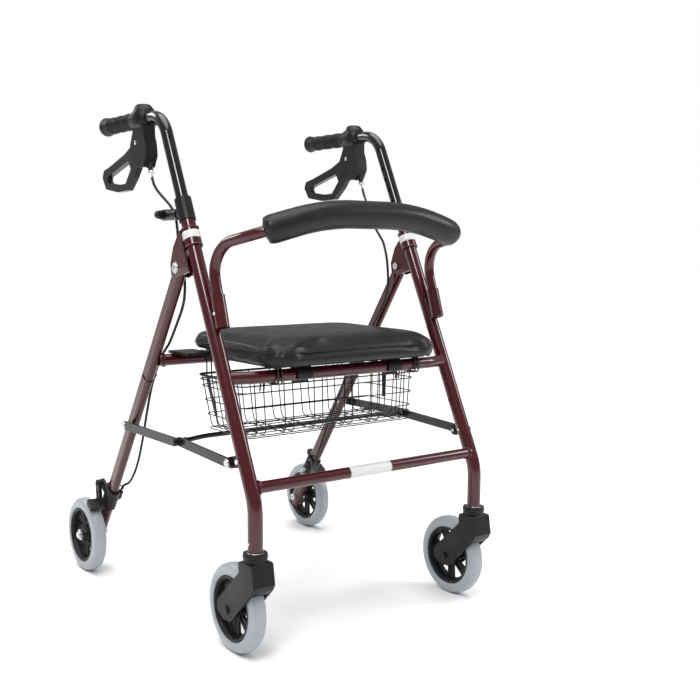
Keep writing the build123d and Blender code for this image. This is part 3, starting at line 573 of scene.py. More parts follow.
def leather_group() -> bpy.types.NodeTree:
    """Vinyl grain: rounded cells with creases between them, over broad wrinkling. The creases are painted
    darker with the Shade colour, a painted shade.
    """
    group = GroupMaker("leather_grain", PATTERN_INPUTS, PATTERN_OUTPUTS)
    cells = group.tree.nodes.new("ShaderNodeTexVoronoi")
    cells.feature = "DISTANCE_TO_EDGE"
    group.link(group.source["Vector"], cells.inputs["Vector"])
    group.link(group.source["Scale"], cells.inputs["Scale"])
    raised = group.spread(cells.outputs["Distance"], 0.0, 0.22)
    broad = group.noise(group.source["Scale"], 3.0, 0.05)
    fold = group.spread(broad, 0.3, 0.7)
    relief = group.maths("ADD", group.maths("MULTIPLY", raised, 0.7), group.maths("MULTIPLY", fold, 0.3))
    # the creases between the cells take the Shade colour: painted shade
    return group.outcome(raised, COLOUR_ENDS[::-1], fold, ROUGH_ENDS, relief)


def brushed_group() -> bpy.types.NodeTree:
    """Plated steel: noise drawn out along X for rolling marks, with cloudy plating over it."""
    group = GroupMaker("brushed_plating", PATTERN_INPUTS, PATTERN_OUTPUTS)
    stretch = group.tree.nodes.new("ShaderNodeMapping")
    stretch.inputs["Scale"].default_value = (0.08, 1.0, 1.0)
    group.link(group.source["Vector"], stretch.inputs["Vector"])
    marks = group.noise(group.source["Scale"], 3.0, vector=stretch.outputs["Vector"])
    cloud = group.spread(group.noise(60.0, 4.0), 0.35, 0.7)
    return group.outcome(cloud, COLOUR_ENDS, marks, ROUGH_ENDS, marks)


def wrap_group() -> bpy.types.NodeTree:
    """Wound or woven surface: bands across Z with crossing bands on the diagonal. The grooves between the
    bands are painted darker with the Shade colour, a painted shade.
    """
    group = GroupMaker("wound_bands", PATTERN_INPUTS, PATTERN_OUTPUTS)
    heights = []
    for direction in ("Z", "DIAGONAL"):
        bands = group.tree.nodes.new("ShaderNodeTexWave")
        bands.bands_direction = direction
        bands.inputs["Distortion"].default_value = 0.6
        group.link(group.source["Vector"], bands.inputs["Vector"])
        group.link(group.source["Scale"], bands.inputs["Scale"])
        heights.append(bands.outputs["Fac"])
    relief = group.maths("MAXIMUM", heights[0], heights[1])
    # the grooves between the bands take the Shade colour: painted shade
    return group.outcome(relief, COLOUR_ENDS[::-1], relief, ROUGH_ENDS[::-1], relief)


def dust_group() -> bpy.types.NodeTree:
    """Settled dust: a pale film where the surface faces up, broken by noise."""
    inputs = {"Vector": "NodeSocketVector", "Colour": "NodeSocketColor", "Roughness": "NodeSocketFloat",
              "Dust": "NodeSocketColor", "Amount": "NodeSocketFloat", "Matt": "NodeSocketFloat"}
    outputs = {"Colour": "NodeSocketColor", "Roughness": "NodeSocketFloat"}
    group = GroupMaker("settled_dust", inputs, outputs)
    facing = group.tree.nodes.new("ShaderNodeNewGeometry")
    split = group.tree.nodes.new("ShaderNodeSeparateXYZ")
    group.link(facing.outputs["Normal"], split.inputs["Vector"])
    upward = group.spread(split.outputs["Z"], 0.2, 1.0)
    patches = group.spread(group.noise(35.0, 6.0), 0.42, 0.75)
    mask = group.maths("MULTIPLY", group.maths("MULTIPLY", upward, patches), group.source["Amount"])
    group.link(group.mix(mask, group.source["Colour"], group.source["Dust"]), group.result["Colour"])
    group.link(group.mix(mask, group.source["Roughness"], group.source["Matt"], "FLOAT"),
               group.result["Roughness"])
    return group.tree


GROUP_MAKERS = {Pattern.GRAIN: grain_group, Pattern.LEATHER: leather_group, Pattern.BRUSHED: brushed_group,
                Pattern.WRAP: wrap_group}
GROUPS: dict[str, bpy.types.NodeTree] = {}
DUST_COLOUR = (0.30, 0.29, 0.28, 1.0)
DUST_ROUGHNESS = 0.8


def shared_group(key: str, maker: Callable[[], bpy.types.NodeTree]) -> bpy.types.NodeTree:
    """The node group of that key, made on first use."""
    if key not in GROUPS:
        GROUPS[key] = maker()
    return GROUPS[key]


@dataclass
class MaterialMaker:
    """Turns a finish into a node material."""

    finish: Finish

    def make(self) -> bpy.types.Material:
        """Builds the material: pattern group, then dust, then one Principled shader."""
        finish = self.finish
        material = bpy.data.materials.new("finish_" + finish.name)
        material.use_nodes = True
        tree = material.node_tree
        shader = tree.nodes["Principled BSDF"]
        place = tree.nodes.new("ShaderNodeTexCoord")
        pattern = tree.nodes.new("ShaderNodeGroup")
        pattern.node_tree = shared_group(finish.pattern.value, GROUP_MAKERS[finish.pattern])
        pattern.inputs["Scale"].default_value = finish.scale
        pattern.inputs["Colour"].default_value = (*finish.colour, 1.0)
        pattern.inputs["Shade"].default_value = (*finish.shade, 1.0)
        pattern.inputs["Smooth"].default_value = finish.rough[0]
        pattern.inputs["Rough"].default_value = finish.rough[1]
        dust = tree.nodes.new("ShaderNodeGroup")
        dust.node_tree = shared_group("dust", dust_group)
        dust.inputs["Dust"].default_value = DUST_COLOUR
        dust.inputs["Amount"].default_value = finish.dust
        dust.inputs["Matt"].default_value = DUST_ROUGHNESS
        bump = tree.nodes.new("ShaderNodeBump")
        bump.inputs["Distance"].default_value = finish.height
        for start, output, end, socket in (
                (place, "Object", pattern, "Vector"), (place, "Object", dust, "Vector"),
                (pattern, "Colour", dust, "Colour"), (pattern, "Roughness", dust, "Roughness"),
                (dust, "Colour", shader, "Base Color"), (dust, "Roughness", shader, "Roughness"),
                (pattern, "Height", bump, "Height"), (bump, "Normal", shader, "Normal")):
            tree.links.new(start.outputs[output], end.inputs[socket])
        shader.inputs["Metallic"].default_value = finish.metallic
        shader.inputs["Specular IOR Level"].default_value = finish.specular
        shader.inputs["Coat Weight"].default_value = finish.coat
        shader.inputs["Coat Roughness"].default_value = finish.coat_rough
        return material


def dress(piece: bpy.types.Object, finish: Finish, body: str | None = None) -> bpy.types.Object:
    """Gives a piece its finish and, when named, its body.

    Args:
        piece: the piece.
        finish: its finish.
        body: the body it rides, or None where it spans two.

    Returns:
        The piece.
    """
    piece.data.materials.clear()
    piece.data.materials.append(finish.material())
    if body:
        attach(piece, body)
    log.info("piece %s: %d faces, finish %s", piece.name, len(piece.data.polygons), finish.name)
    return piece


def dress_nodes() -> None:
    """Gives every carried-over part of the frame the finish of its slot."""
    special = {"handle_tube_left": GLOSS_BLACK, "handle_tube_right": GLOSS_BLACK}
    for part in frame["record"]["subparts"]:
        node = frame["nodes"][part["node"]]
        finish = special.get(part["node"], SLOT_FINISHES[part["material_slot"]])
        node.data.materials.clear()
        node.data.materials.append(finish.material())


# --------------------------------------------------------------------- soft pieces

@dataclass(frozen=True)
class Stuffing:
    """How a padded piece is inflated: cell size, air pressure, and the furthest a point may move."""

    cell: float = 0.005
    pressure: float = 4.0
    reach: float = 0.007
    steps: int = 20

    def fill(self, piece: bpy.types.Object, floor_z: float | None = None) -> None:
        """Inflates the piece as cloth, caps each point's travel, and leaves plain mesh.

        Args:
            piece: a closed mesh at the origin.
            floor_z: height below which points are held still.
        """
        remesh = piece.modifiers.new("cells", "REMESH")
        remesh.mode = "VOXEL"
        remesh.voxel_size = self.cell
        self.apply(piece)
        start = read_points(piece.data)
        if floor_z is not None:
            held = piece.vertex_groups.new(name="held")
            held.add(np.flatnonzero(start[:, 2] < floor_z).tolist(), 1.0, "REPLACE")
        cloth = piece.modifiers.new("cloth", "CLOTH")
        cloth.settings.use_pressure = True
        cloth.settings.uniform_pressure_force = self.pressure
        cloth.settings.effector_weights.gravity = 0.0
        cloth.settings.quality = 5
        if floor_z is not None:
            cloth.settings.vertex_group_mass = "held"
        for step in range(1, self.steps + 1):
            bpy.context.scene.frame_set(step)
        self.apply(piece)
        move = read_points(piece.data) - start
        length = np.linalg.norm(move, axis=1, keepdims=True)
        limit = self.reach * np.tanh(length / self.reach)
        write_points(piece.data, start + move * limit / np.maximum(length, 1e-9))
        bpy.context.scene.frame_set(1)

    def apply(self, piece: bpy.types.Object) -> None:
        """Bakes the piece's modifiers into its mesh."""
        graph = bpy.context.evaluated_depsgraph_get()
        baked = bpy.data.meshes.new_from_object(piece.evaluated_get(graph))
        piece.modifiers.clear()
        piece.data = baked
        piece.data.shade_smooth()


def read_points(mesh: bpy.types.Mesh) -> np.ndarray:
    """The mesh's points as rows."""
    flat = np.empty(len(mesh.vertices) * 3)
    mesh.vertices.foreach_get("co", flat)
    return flat.reshape(-1, 3)


def write_points(mesh: bpy.types.Mesh, points: np.ndarray) -> None:
    """Puts rows of points back into the mesh."""
    mesh.vertices.foreach_set("co", points.astype(np.float32).ravel())
    mesh.update()


def smooth_more(piece: bpy.types.Object) -> None:
    """Adds one level of subdivision."""
    finer = piece.modifiers.new("finer", "SUBSURF")
    finer.levels = 1
    finer.render_levels = 1


def surface_hits(piece: bpy.types.Object, origins: np.ndarray, targets: np.ndarray) -> np.ndarray:
    """Where rays from outside first meet a piece.

    Args:
        piece: the piece.
        origins: start of each ray.
        targets: a point that each ray aims at.

    Returns:
        The hit points, or the target where a ray misses.
    """
    tree = BVHTree.FromObject(piece, bpy.context.evaluated_depsgraph_get())
    hits = [tree.ray_cast(Vector(start), Vector(end - start).normalized())[0] or Vector(end)
            for start, end in zip(origins, targets)]
    return np.array([tuple(hit) for hit in hits])


def stitches(shell: Shell, path: np.ndarray, length: float, gap: float, thickness: float) -> None:
    """Sewn thread along a closed path: short rounded lozenges, one each gap.

    Args:
        shell: the shell that takes the surface.
        path: the closed path.
        length: one stitch's length.
        gap: distance from one stitch to the next.
        thickness: the thread's radius.
    """
    ring = np.vstack([path, path[:1]])
    travelled = np.concatenate([[0.0], np.cumsum(np.linalg.norm(np.diff(ring, axis=0), axis=1))])
    centres = np.arange(gap / 2, travelled[-1], gap)
    for centre in centres:
        at = centre + length * np.array([-0.5, -0.25, 0.25, 0.5])
        run = np.stack([np.interp(at, travelled, ring[:, axis]) for axis in range(3)], -1)
        sweep(shell, run, thickness * np.array([0.35, 1.0, 1.0, 0.35]), 5, (0.1, 0.2, 1.0))


@dataclass
class SeatCushion:
    """Padded seat: crowned vinyl cover with a stitched seam round its side."""

    body: str = "seat"
    seam_share: float = 0.42
    inset: float = 0.0005
    skirt: float = 0.007
    columns: int = 128
    corner: float = 0.046
    side_pull: float = 0.008
    side_share: float = 0.62
    skirt_edge: float = -0.034

    def outline(self, share: np.ndarray | float) -> np.ndarray:
        """Plan of the cushion, scaled towards its middle by share.

        The sides pull in between the corners by a cosine of the angle taken four times.
        """
        low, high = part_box("seat_pad")
        half_x = (high[0] - low[0]) / 2 - self.inset
        half_y = (high[1] - low[1]) / 2 - self.inset
        plan = rounded_outline(half_x, half_y, self.corner, self.columns)
        angle = np.arctan2(plan[:, 1] / half_y, plan[:, 0] / half_x)
        pull = 1.0 - self.side_pull * (1 + np.cos(4 * angle)) / 2
        centre = np.array([(low[0] + high[0]) / 2, (low[1] + high[1]) / 2])
        return centre + np.asarray(share)[..., None, None] * (plan * pull[:, None])

    def levels(self) -> tuple[np.ndarray, np.ndarray]:
        """Share of the plan and height of each row, from under the middle to over it."""
        low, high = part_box("seat_pad")
        bottom = low[2] + 0.0006
        depth = high[2] - low[2] + 0.0004
        side = np.linspace(0.0, 1.0, 13)
        bulge = 0.975 + 0.025 * np.sin(np.pi * np.clip(side * 1.1, 0, 1)) ** 0.7
        side_z = bottom + side * depth * self.side_share
        top = np.linspace(0.0, np.pi / 2, 16)[1:]
        top_share = 0.975 * np.cos(top) ** 0.75
        top_z = bottom + depth * self.side_share + depth * (1 - self.side_share) * np.sin(top) ** 0.9
        under = np.array([0.05, 0.4, 0.8])
        share = np.concatenate([under, bulge, np.maximum(top_share, 0.03)])
        height = np.concatenate([np.full(3, bottom), side_z, top_z])
        return share, height

    def build(self) -> None:
        """Makes the cushion, with its front lowered into a skirt, and its seam."""
        share, height = self.levels()
        plan = self.outline(share)
        top = height.max()
        reach = np.clip((self.skirt_edge - plan[..., 1]) / 0.03, 0.0, 1.0) * self.skirt
        level = top - (top - height[:, None]) * (1.0 + reach / (top - height.min()))
        shell = Shell()
        shell.grid(np.concatenate([plan, level[..., None]], axis=-1))
        cushion = shell.build("seat_cushion")
        Stuffing(reach=0.0055).fill(cushion, floor_z=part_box("seat_pad")[0][2] + 0.002 - self.skirt / 2)
        smooth_more(cushion)
        dress(cushion, VINYL, self.body)
        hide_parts("seat_pad")
        self.seam(cushion)

    def seam(self, cushion: bpy.types.Object) -> None:
        """Lays the seam's piping and stitches on the cushion's side.

        Args:
            cushion: the finished cushion.
        """
        low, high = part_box("seat_pad")
        z = low[2] + self.seam_share * (high[2] - low[2])
        outer = self.outline(1.25)
        inner = self.outline(0.5)
        level = np.full((len(outer), 1), z)
        line = surface_hits(cushion, np.hstack([outer, level]), np.hstack([inner, level]))
        piping = Shell()
        sweep(piping, line, 0.0013, 8, Z_AXIS, closed=True)
        dress(piping.build("seat_piping"), VINYL, self.body)
        thread = Shell()
        outward = unit(line - line.mean(axis=0)) * 0.0004
        stitches(thread, line + outward + [0.0, 0.0, 0.0042], 0.0032, 0.0052, 0.00042)
        dress(thread.build("seat_stitches"), THREAD, self.body)


@dataclass
class BackrestRoll:
    """Padded roll on the bowed tube: vinyl sleeve drawn in at its ends, with a sewn seam underneath."""

    body: str = "front_frame"
    radius: float = 0.0245
    end_x: float = 0.206
    hem_share: float = 0.86
    rows: int = 90
    sides: int = 40

    def middle(self, samples: int) -> np.ndarray:
        """Axis of the roll: the mean line of the padded part, as a curve bowed up and forward.

        Args:
            samples: how many points.

        Returns:
            Points from one end to the other.
        """
        control = [(0.243, -0.171, 0.676), (0.222, -0.291, 0.699), (0.095, -0.297, 0.733)]
        mirrored = [(-x, y, z) for x, y, z in reversed(control)]
        path = rounded_run(control + mirrored, 0.075, 24)
        x = np.linspace(self.end_x, -self.end_x, samples)
        order = np.argsort(path[:, 0])
        y = np.interp(x, path[order, 0], path[order, 1])
        z = np.interp(x, path[order, 0], path[order, 2])
        return np.stack([x, y, z], -1)

    def build(self) -> None:
        """Makes the roll, its end caps' piping and its seam."""
        path = self.middle(self.rows)
        place = np.linspace(-1.0, 1.0, self.rows)
        size = self.radius * (1 - 0.55 * np.abs(place) ** 110)
        shell = Shell()
        sweep(shell, path, size, self.sides, Z_AXIS)
        roll = shell.build("backrest_roll")
        Stuffing(cell=0.0045, pressure=3.0, reach=0.004).fill(roll)
        smooth_more(roll)
        dress(roll, VINYL, self.body)
        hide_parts("backrest_foam")
        self.trim(roll, path)

    def trim(self, roll: bpy.types.Object, path: np.ndarray) -> None:
        """Adds the long seam's stitches and the drawn hems at the ends.

        Args:
            roll: the finished roll.
            path: its axis.
        """
        away = np.array([0.0, 0.55, -0.835])
        inside = path[4:-4]
        line = surface_hits(roll, inside + 0.06 * away, inside)
        back = line + away * 0.0002
        loop = np.vstack([back, back[::-1] + [0.0, 0.0018, 0.0012]])
        thread = Shell()
        stitches(thread, loop, 0.0034, 0.0055, 0.0004)
        dress(thread.build("backrest_stitches"), THREAD, self.body)
        hems = Shell()
        angle = around(36)
        for index, ahead in ((1, 3), (-2, -4)):
            centre = path[index]
            along = unit(path[ahead] - centre)
            across = unit(np.cross(along, Z_AXIS))
            other = np.cross(along, across)
            circle = centre + self.radius * self.hem_share * in_plane(angle, across, other)
            sweep(hems, circle, 0.0014, 8, tuple(along), closed=True)
        dress(hems.build("backrest_hems"), VINYL, self.body)


# ------------------------------------------------------------------------- basket

@dataclass
class WireBasket:
    """Wire basket: rim, hoops, side-to-side and front-to-back wires, hooks and a carrying strap."""

    body: str = "basket_frame"
    floor: tuple[float, float] = (0.380, 0.145)
    rim: tuple[float, float] = (0.406, 0.156)
    floor_y: float = -0.1315
    rim_y: float = -0.123
    floor_z: float = 0.3455
    rim_z: float = 0.4440
    wire: float = 0.00105
    rim_wire: float = 0.0022
    hook_x: float = 0.155
    hoops: int = 4
    side_pitch: float = 0.0205

    def at(self, height: float) -> tuple[float, float, float, float]:
        """Half width, half depth, middle y and z of the wall at a share of its height."""
        half_x = (self.floor[0] + (self.rim[0] - self.floor[0]) * height) / 2
        half_y = (self.floor[1] + (self.rim[1] - self.floor[1]) * height) / 2
        middle = self.floor_y + (self.rim_y - self.floor_y) * height
        return half_x - 0.002, half_y - 0.002, middle, self.floor_z + (self.rim_z - self.floor_z) * height

    def hoop(self, shell: Shell, height: float, radius: float) -> None:
        """Adds a hoop round the walls.

        Args:
            shell: the shell that takes it.
            height: share of the wall's height.
            radius: the wire's radius.
        """
        half_x, half_y, middle, z = self.at(height)
        plan = rounded_outline(half_x, half_y, 0.016, 48) + [0.0, middle]
        sweep(shell, np.hstack([plan, np.full((len(plan), 1), z)]), radius, 8, Z_AXIS, closed=True)

    def crossing(self, shell: Shell, place: float, lengthwise: bool) -> None:
        """Adds a U of wire: down one wall, across the floor and up the other.

        Args:
            shell: the shell that takes it.
            place: where it lies, along the direction it doesn't run.
            lengthwise: whether it runs from front to back.
        """
        floor_x, floor_half_y, floor_middle, low = self.at(0.0)
        rim_x, rim_half_y, rim_middle, high = self.at(1.0)
        inside = 2 * self.wire
        if lengthwise:
            points = [(place * 1.03, rim_middle - rim_half_y + inside, high),
                      (place, floor_middle - floor_half_y + inside, low + inside),
                      (place, floor_middle + floor_half_y - inside, low + inside),
                      (place * 1.03, rim_middle + rim_half_y - inside, high)]
            reference = X_AXIS
        else:
            rise = (place - floor_middle) / floor_half_y
            top_y = rim_middle + rise * rim_half_y
            points = [(-rim_x + inside, top_y, high), (-floor_x + inside, place, low),
                      (floor_x - inside, place, low), (rim_x - inside, top_y, high)]
            reference = Y_AXIS
        sweep(shell, rounded_run(points, 0.014), self.wire, 7, reference)

    def build(self) -> None:
        """Makes the basket, its hangers and its strap."""
        shell = Shell()
        for height in np.linspace(0.0, 0.80, self.hoops):
            self.hoop(shell, float(height), self.wire)
        self.hoop(shell, 0.92, self.wire * 1.2)
        self.hoop(shell, 1.0, self.rim_wire)
        floor_half_y = self.floor[1] / 2 - 0.016
        count = int(2 * floor_half_y / self.side_pitch)
        for place in np.linspace(self.floor_y - floor_half_y, self.floor_y + floor_half_y, count + 1):
            self.crossing(shell, float(place), lengthwise=False)
        for middle in (-0.158, -0.098, -0.034, 0.034, 0.098, 0.158):
            for offset in (-0.009, 0.009):
                self.crossing(shell, middle + offset, lengthwise=True)
        self.front_hooks(shell)
        basket = dress(shell.build("wire_basket"), BLACK_WIRE, self.body)
        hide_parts("basket")
        self.hangers()
        self.straps()

    def front_hooks(self, shell: Shell) -> None:
        """Adds the doubled hooks that hang the basket on the front rail."""
        top = SIZES.rail_z + SIZES.rail_radius + 0.0022
        front = SIZES.rail_y - SIZES.rail_radius - 0.0025
        _, half_y, middle, high = self.at(1.0)
        wall = middle - half_y
        for x in (-self.hook_x, self.hook_x):
            for side in (-0.004, 0.004):
                points = [(x + side, wall + 0.004, high - 0.018), (x + side, wall + 0.001, high),
                          (x + side, front, high), (x + side, front, top),
                          (x + side, SIZES.rail_y + 0.002, top)]
                sweep(shell, rounded_run(points, 0.006), 0.0015, 8)

    def hangers(self) -> None:
        """Makes the looped wire hangers on the rear bar."""
        shell = Shell()
        reach = SIZES.rear_bar_radius + 0.0019
        y = SIZES.rear_bar_y
        foot = self.rim_z - 0.0125
        for x in (-self.hook_x, self.hook_x):
            for side in (-0.005, 0.005):
                over = SIZES.rear_bar_z + reach
                points = [(x + side, y + reach, SIZES.rear_bar_z - 0.006), (x + side, y + reach, over),
                          (x + side, y - reach, over), (x + side, y - reach, foot),
                          (x + side, self.rim_y + 0.081, foot)]
                sweep(shell, rounded_run(points, 0.007), 0.0014, 8)
            bar = [(x - 0.006, self.rim_y + 0.081, foot), (x + 0.006, self.rim_y + 0.081, foot)]
            sweep(shell, np.linspace(*np.array(bar), 4), 0.0014, 8, Z_AXIS)
        hangers = dress(shell.build("wire_hangers"), BLACK_WIRE, "rear_frame")
        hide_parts("basket_hangers")

    def straps(self) -> None:
        """Makes the flat carrying straps stitched round the rim at each end."""
        shell = Shell()
        for side in (-1.0, 1.0):
            half_x, _, middle, high = self.at(1.0)
            low_x, _, _, low = self.at(0.30)
            line = spline([(side * (half_x - 0.003), middle + 0.032, high - 0.004),
                           (side * (half_x + 0.0035), middle + 0.032, high + 0.004),
                           (side * (half_x + 0.004), middle + 0.030, high - 0.012),
                           (side * (low_x + 0.009), middle + 0.022, (high + low) / 2),
                           (side * (low_x + 0.004), middle + 0.016, low)], 40)
            angle = around(16)
            across = np.sign(np.cos(angle)) * 0.0055 * np.abs(np.cos(angle)) ** 0.3
            shape = np.stack([0.0008 * np.sin(angle), across], -1)
            tangent = unit(np.gradient(line, axis=0))
            across = np.broadcast_to(Y_AXIS, line.shape)
            across = unit(across - np.sum(across * tangent, axis=1, keepdims=True) * tangent)
            outward = np.cross(across, tangent)
            band = (line[:, None, :] + shape[None, :, :1] * outward[:, None, :]
                    + shape[None, :, 1:] * across[:, None, :])
            shell.grid(band)
        dress(shell.build("basket_straps"), WEBBING, self.body)


# ------------------------------------------------------------------------- wheels

@dataclass
class Wheel:
    """One wheel: soft grey tyre with moulded shoulders, and trim on its hub."""

    name: str
    body: str
    centre: Point
    tyre_radius: float = 0.076
    half_width: float = 0.014
    hub_radius: float = 0.056
    windows: int = 7
    web: float = 0.0026

    def tyre(self) -> None:
        """Makes the tyre: a rounded crown, shoulder grooves and a parting line, as one closed loop."""
        angle = np.linspace(-1.0, 1.0, 61) * np.pi / 2
        along = self.half_width * np.sign(np.sin(angle)) * np.abs(np.sin(angle)) ** 0.80
        depth = self.tyre_radius - self.hub_radius
        radius = self.hub_radius + 0.0004 + (depth - 0.0004) * np.abs(np.cos(angle)) ** 0.42
        radius = np.minimum(radius, self.tyre_radius)
        groove = 0.0008 * np.exp(-((np.abs(along) - 0.0088) / 0.0006) ** 2)
        line = 0.0003 * np.exp(-(along / 0.0004) ** 2)
        outer = np.stack([along, radius - groove + np.minimum(line, self.tyre_radius - radius)], -1)
        inner = np.stack([np.linspace(self.half_width, -self.half_width, 9)[1:-1],
                          np.full(7, self.hub_radius + 0.0002)], -1)
        shell = Shell()
        turned(shell, self.centre, X_AXIS, np.vstack([outer, inner]), 128, closed=True)
        tyre = dress(shell.build(f"tyre_{self.name}"), TYRE_GREY, self.body)
        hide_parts(f"{self.name.split('_')[0]}_tyre_{self.name.split('_')[1]}")

    def hub(self) -> None:
        """Makes the hub: a deep rim, a web with seven wedge windows, and the axle boss.

        Each seventh of the web is a closed strip between its window and its own border, where
        the rays from the window's middle leave the sector.
        """
        shell = Shell()
        rim = [(-0.0130, 0.0560), (-0.0130, 0.0512), (-0.0118, 0.0500), (0.0, 0.0490),
               (0.0118, 0.0500), (0.0130, 0.0512), (0.0130, 0.0560), (0.0, 0.0562)]
        boss = [(-0.0155, 0.0041), (-0.0155, 0.0120), (-0.0145, 0.0135), (-0.0035, 0.0170),
                (0.0035, 0.0170), (0.0145, 0.0135), (0.0155, 0.0120), (0.0155, 0.0041)]
        turned(shell, self.centre, X_AXIS, np.array(rim), 96, closed=True)
        turned(shell, self.centre, X_AXIS, np.array(boss), 48, closed=True)
        corners = np.array([(0.0235, -0.0022), (0.0462, -0.0120), (0.0462, 0.0120), (0.0235, 0.0022)])
        outline = [*np.pad(corners, ((0, 0), (0, 1))), (0.0235, -0.0022, 0.0)]
        loop = rounded_run(outline, 0.0030, 8)[:-1, :2]
        middle = np.array([0.0385, 0.0])
        ray = unit(loop - middle)
        sector = math.pi / self.windows
        border = middle + ray * self.reach(middle, ray, sector)[:, None]
        for turn in np.arange(self.windows) * 2 * sector + math.pi / 2:
            spin = np.array([[math.cos(turn), math.sin(turn)], [-math.sin(turn), math.cos(turn)]])
            rows = []
            rolled = self.web - 0.0006
            for x, share in ((self.web, 0.0), (self.web, 0.85), (rolled, 1.0), (-rolled, 1.0),
                             (-self.web, 0.85), (-self.web, 0.0)):
                flat = (border + (loop - border) * share) @ spin
                rows.append(np.column_stack([np.full(len(flat), x), flat]) + np.array(self.centre))
            shell.grid(np.array(rows), closed=True)
        hub = dress(shell.build(f"hub_{self.name}"), MOULDED, self.body)
        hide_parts(f"{self.name.split('_')[0]}_hub_{self.name.split('_')[1]}")

    def reach(self, middle: np.ndarray, ray: np.ndarray, sector: float) -> np.ndarray:
        """How far each ray runs from a window's middle to the sector's border.

        Args:
            middle: the window's middle, as radius along the sector's centre line and offset.
            ray: directions.
            sector: half of the sector's angle.

        Returns:
            One distance a ray.
        """
        limits = []
        for sign in (-1.0, 1.0):
            normal = np.array([-math.sin(sector), sign * math.cos(sector)])
            rate = ray @ normal
            limits.append(np.where(rate > 1e-6, -(middle @ normal) / np.maximum(rate, 1e-6), 1.0))
        for sign, edge in ((1.0, 0.0508), (-1.0, -0.0140)):
            rate = sign * ray[:, 0]
            limits.append(np.where(rate > 1e-6, (edge - sign * middle[0]) / np.maximum(rate, 1e-6), 1.0))
        return np.min(limits, axis=0)

    def hub_trim(self) -> None:
        """Adds rim beads and the bosses' moulded steps to both faces of the hub."""
        shell = Shell()
        bead = [(0.0, 0.0515), (0.0010, 0.0522), (0.0013, 0.0535), (0.0010, 0.0552), (0.0, 0.0558),
                (-0.003, 0.0540)]
        step = [(0.0, 0.0160), (0.0028, 0.0162), (0.0036, 0.0172), (0.0028, 0.0192), (0.0, 0.0198),
                (-0.0015, 0.018)]
        for side in SIDES.values():
            turned(shell, self.centre, X_AXIS, facing(-side, 0.0128, bead), 96, closed=True)
            turned(shell, self.centre, X_AXIS, facing(-side, 0.0024, step), 64, closed=True)
        dress(shell.build(f"hub_trim_{self.name}"), MOULDED, self.body)

    def bushes(self) -> None:
        """Adds the bright bush at each end of the hub's bore."""
        shell = Shell()
        rim = [(0.0, 0.0052), (0.0003, 0.0056), (0.0003, 0.0108), (0.0, 0.0114), (-0.0010, 0.0110),
               (-0.0010, 0.0056)]
        for side in SIDES.values():
            turned(shell, self.centre, X_AXIS, facing(-side, 0.0155, rim), 40, closed=True)
        dress(shell.build(f"hub_bushes_{self.name}"), BRIGHT_ZINC, self.body)

    def build(self) -> None:
        """Makes the wheel's pieces."""
        self.tyre()
        self.hub()
        self.hub_trim()
        self.bushes()


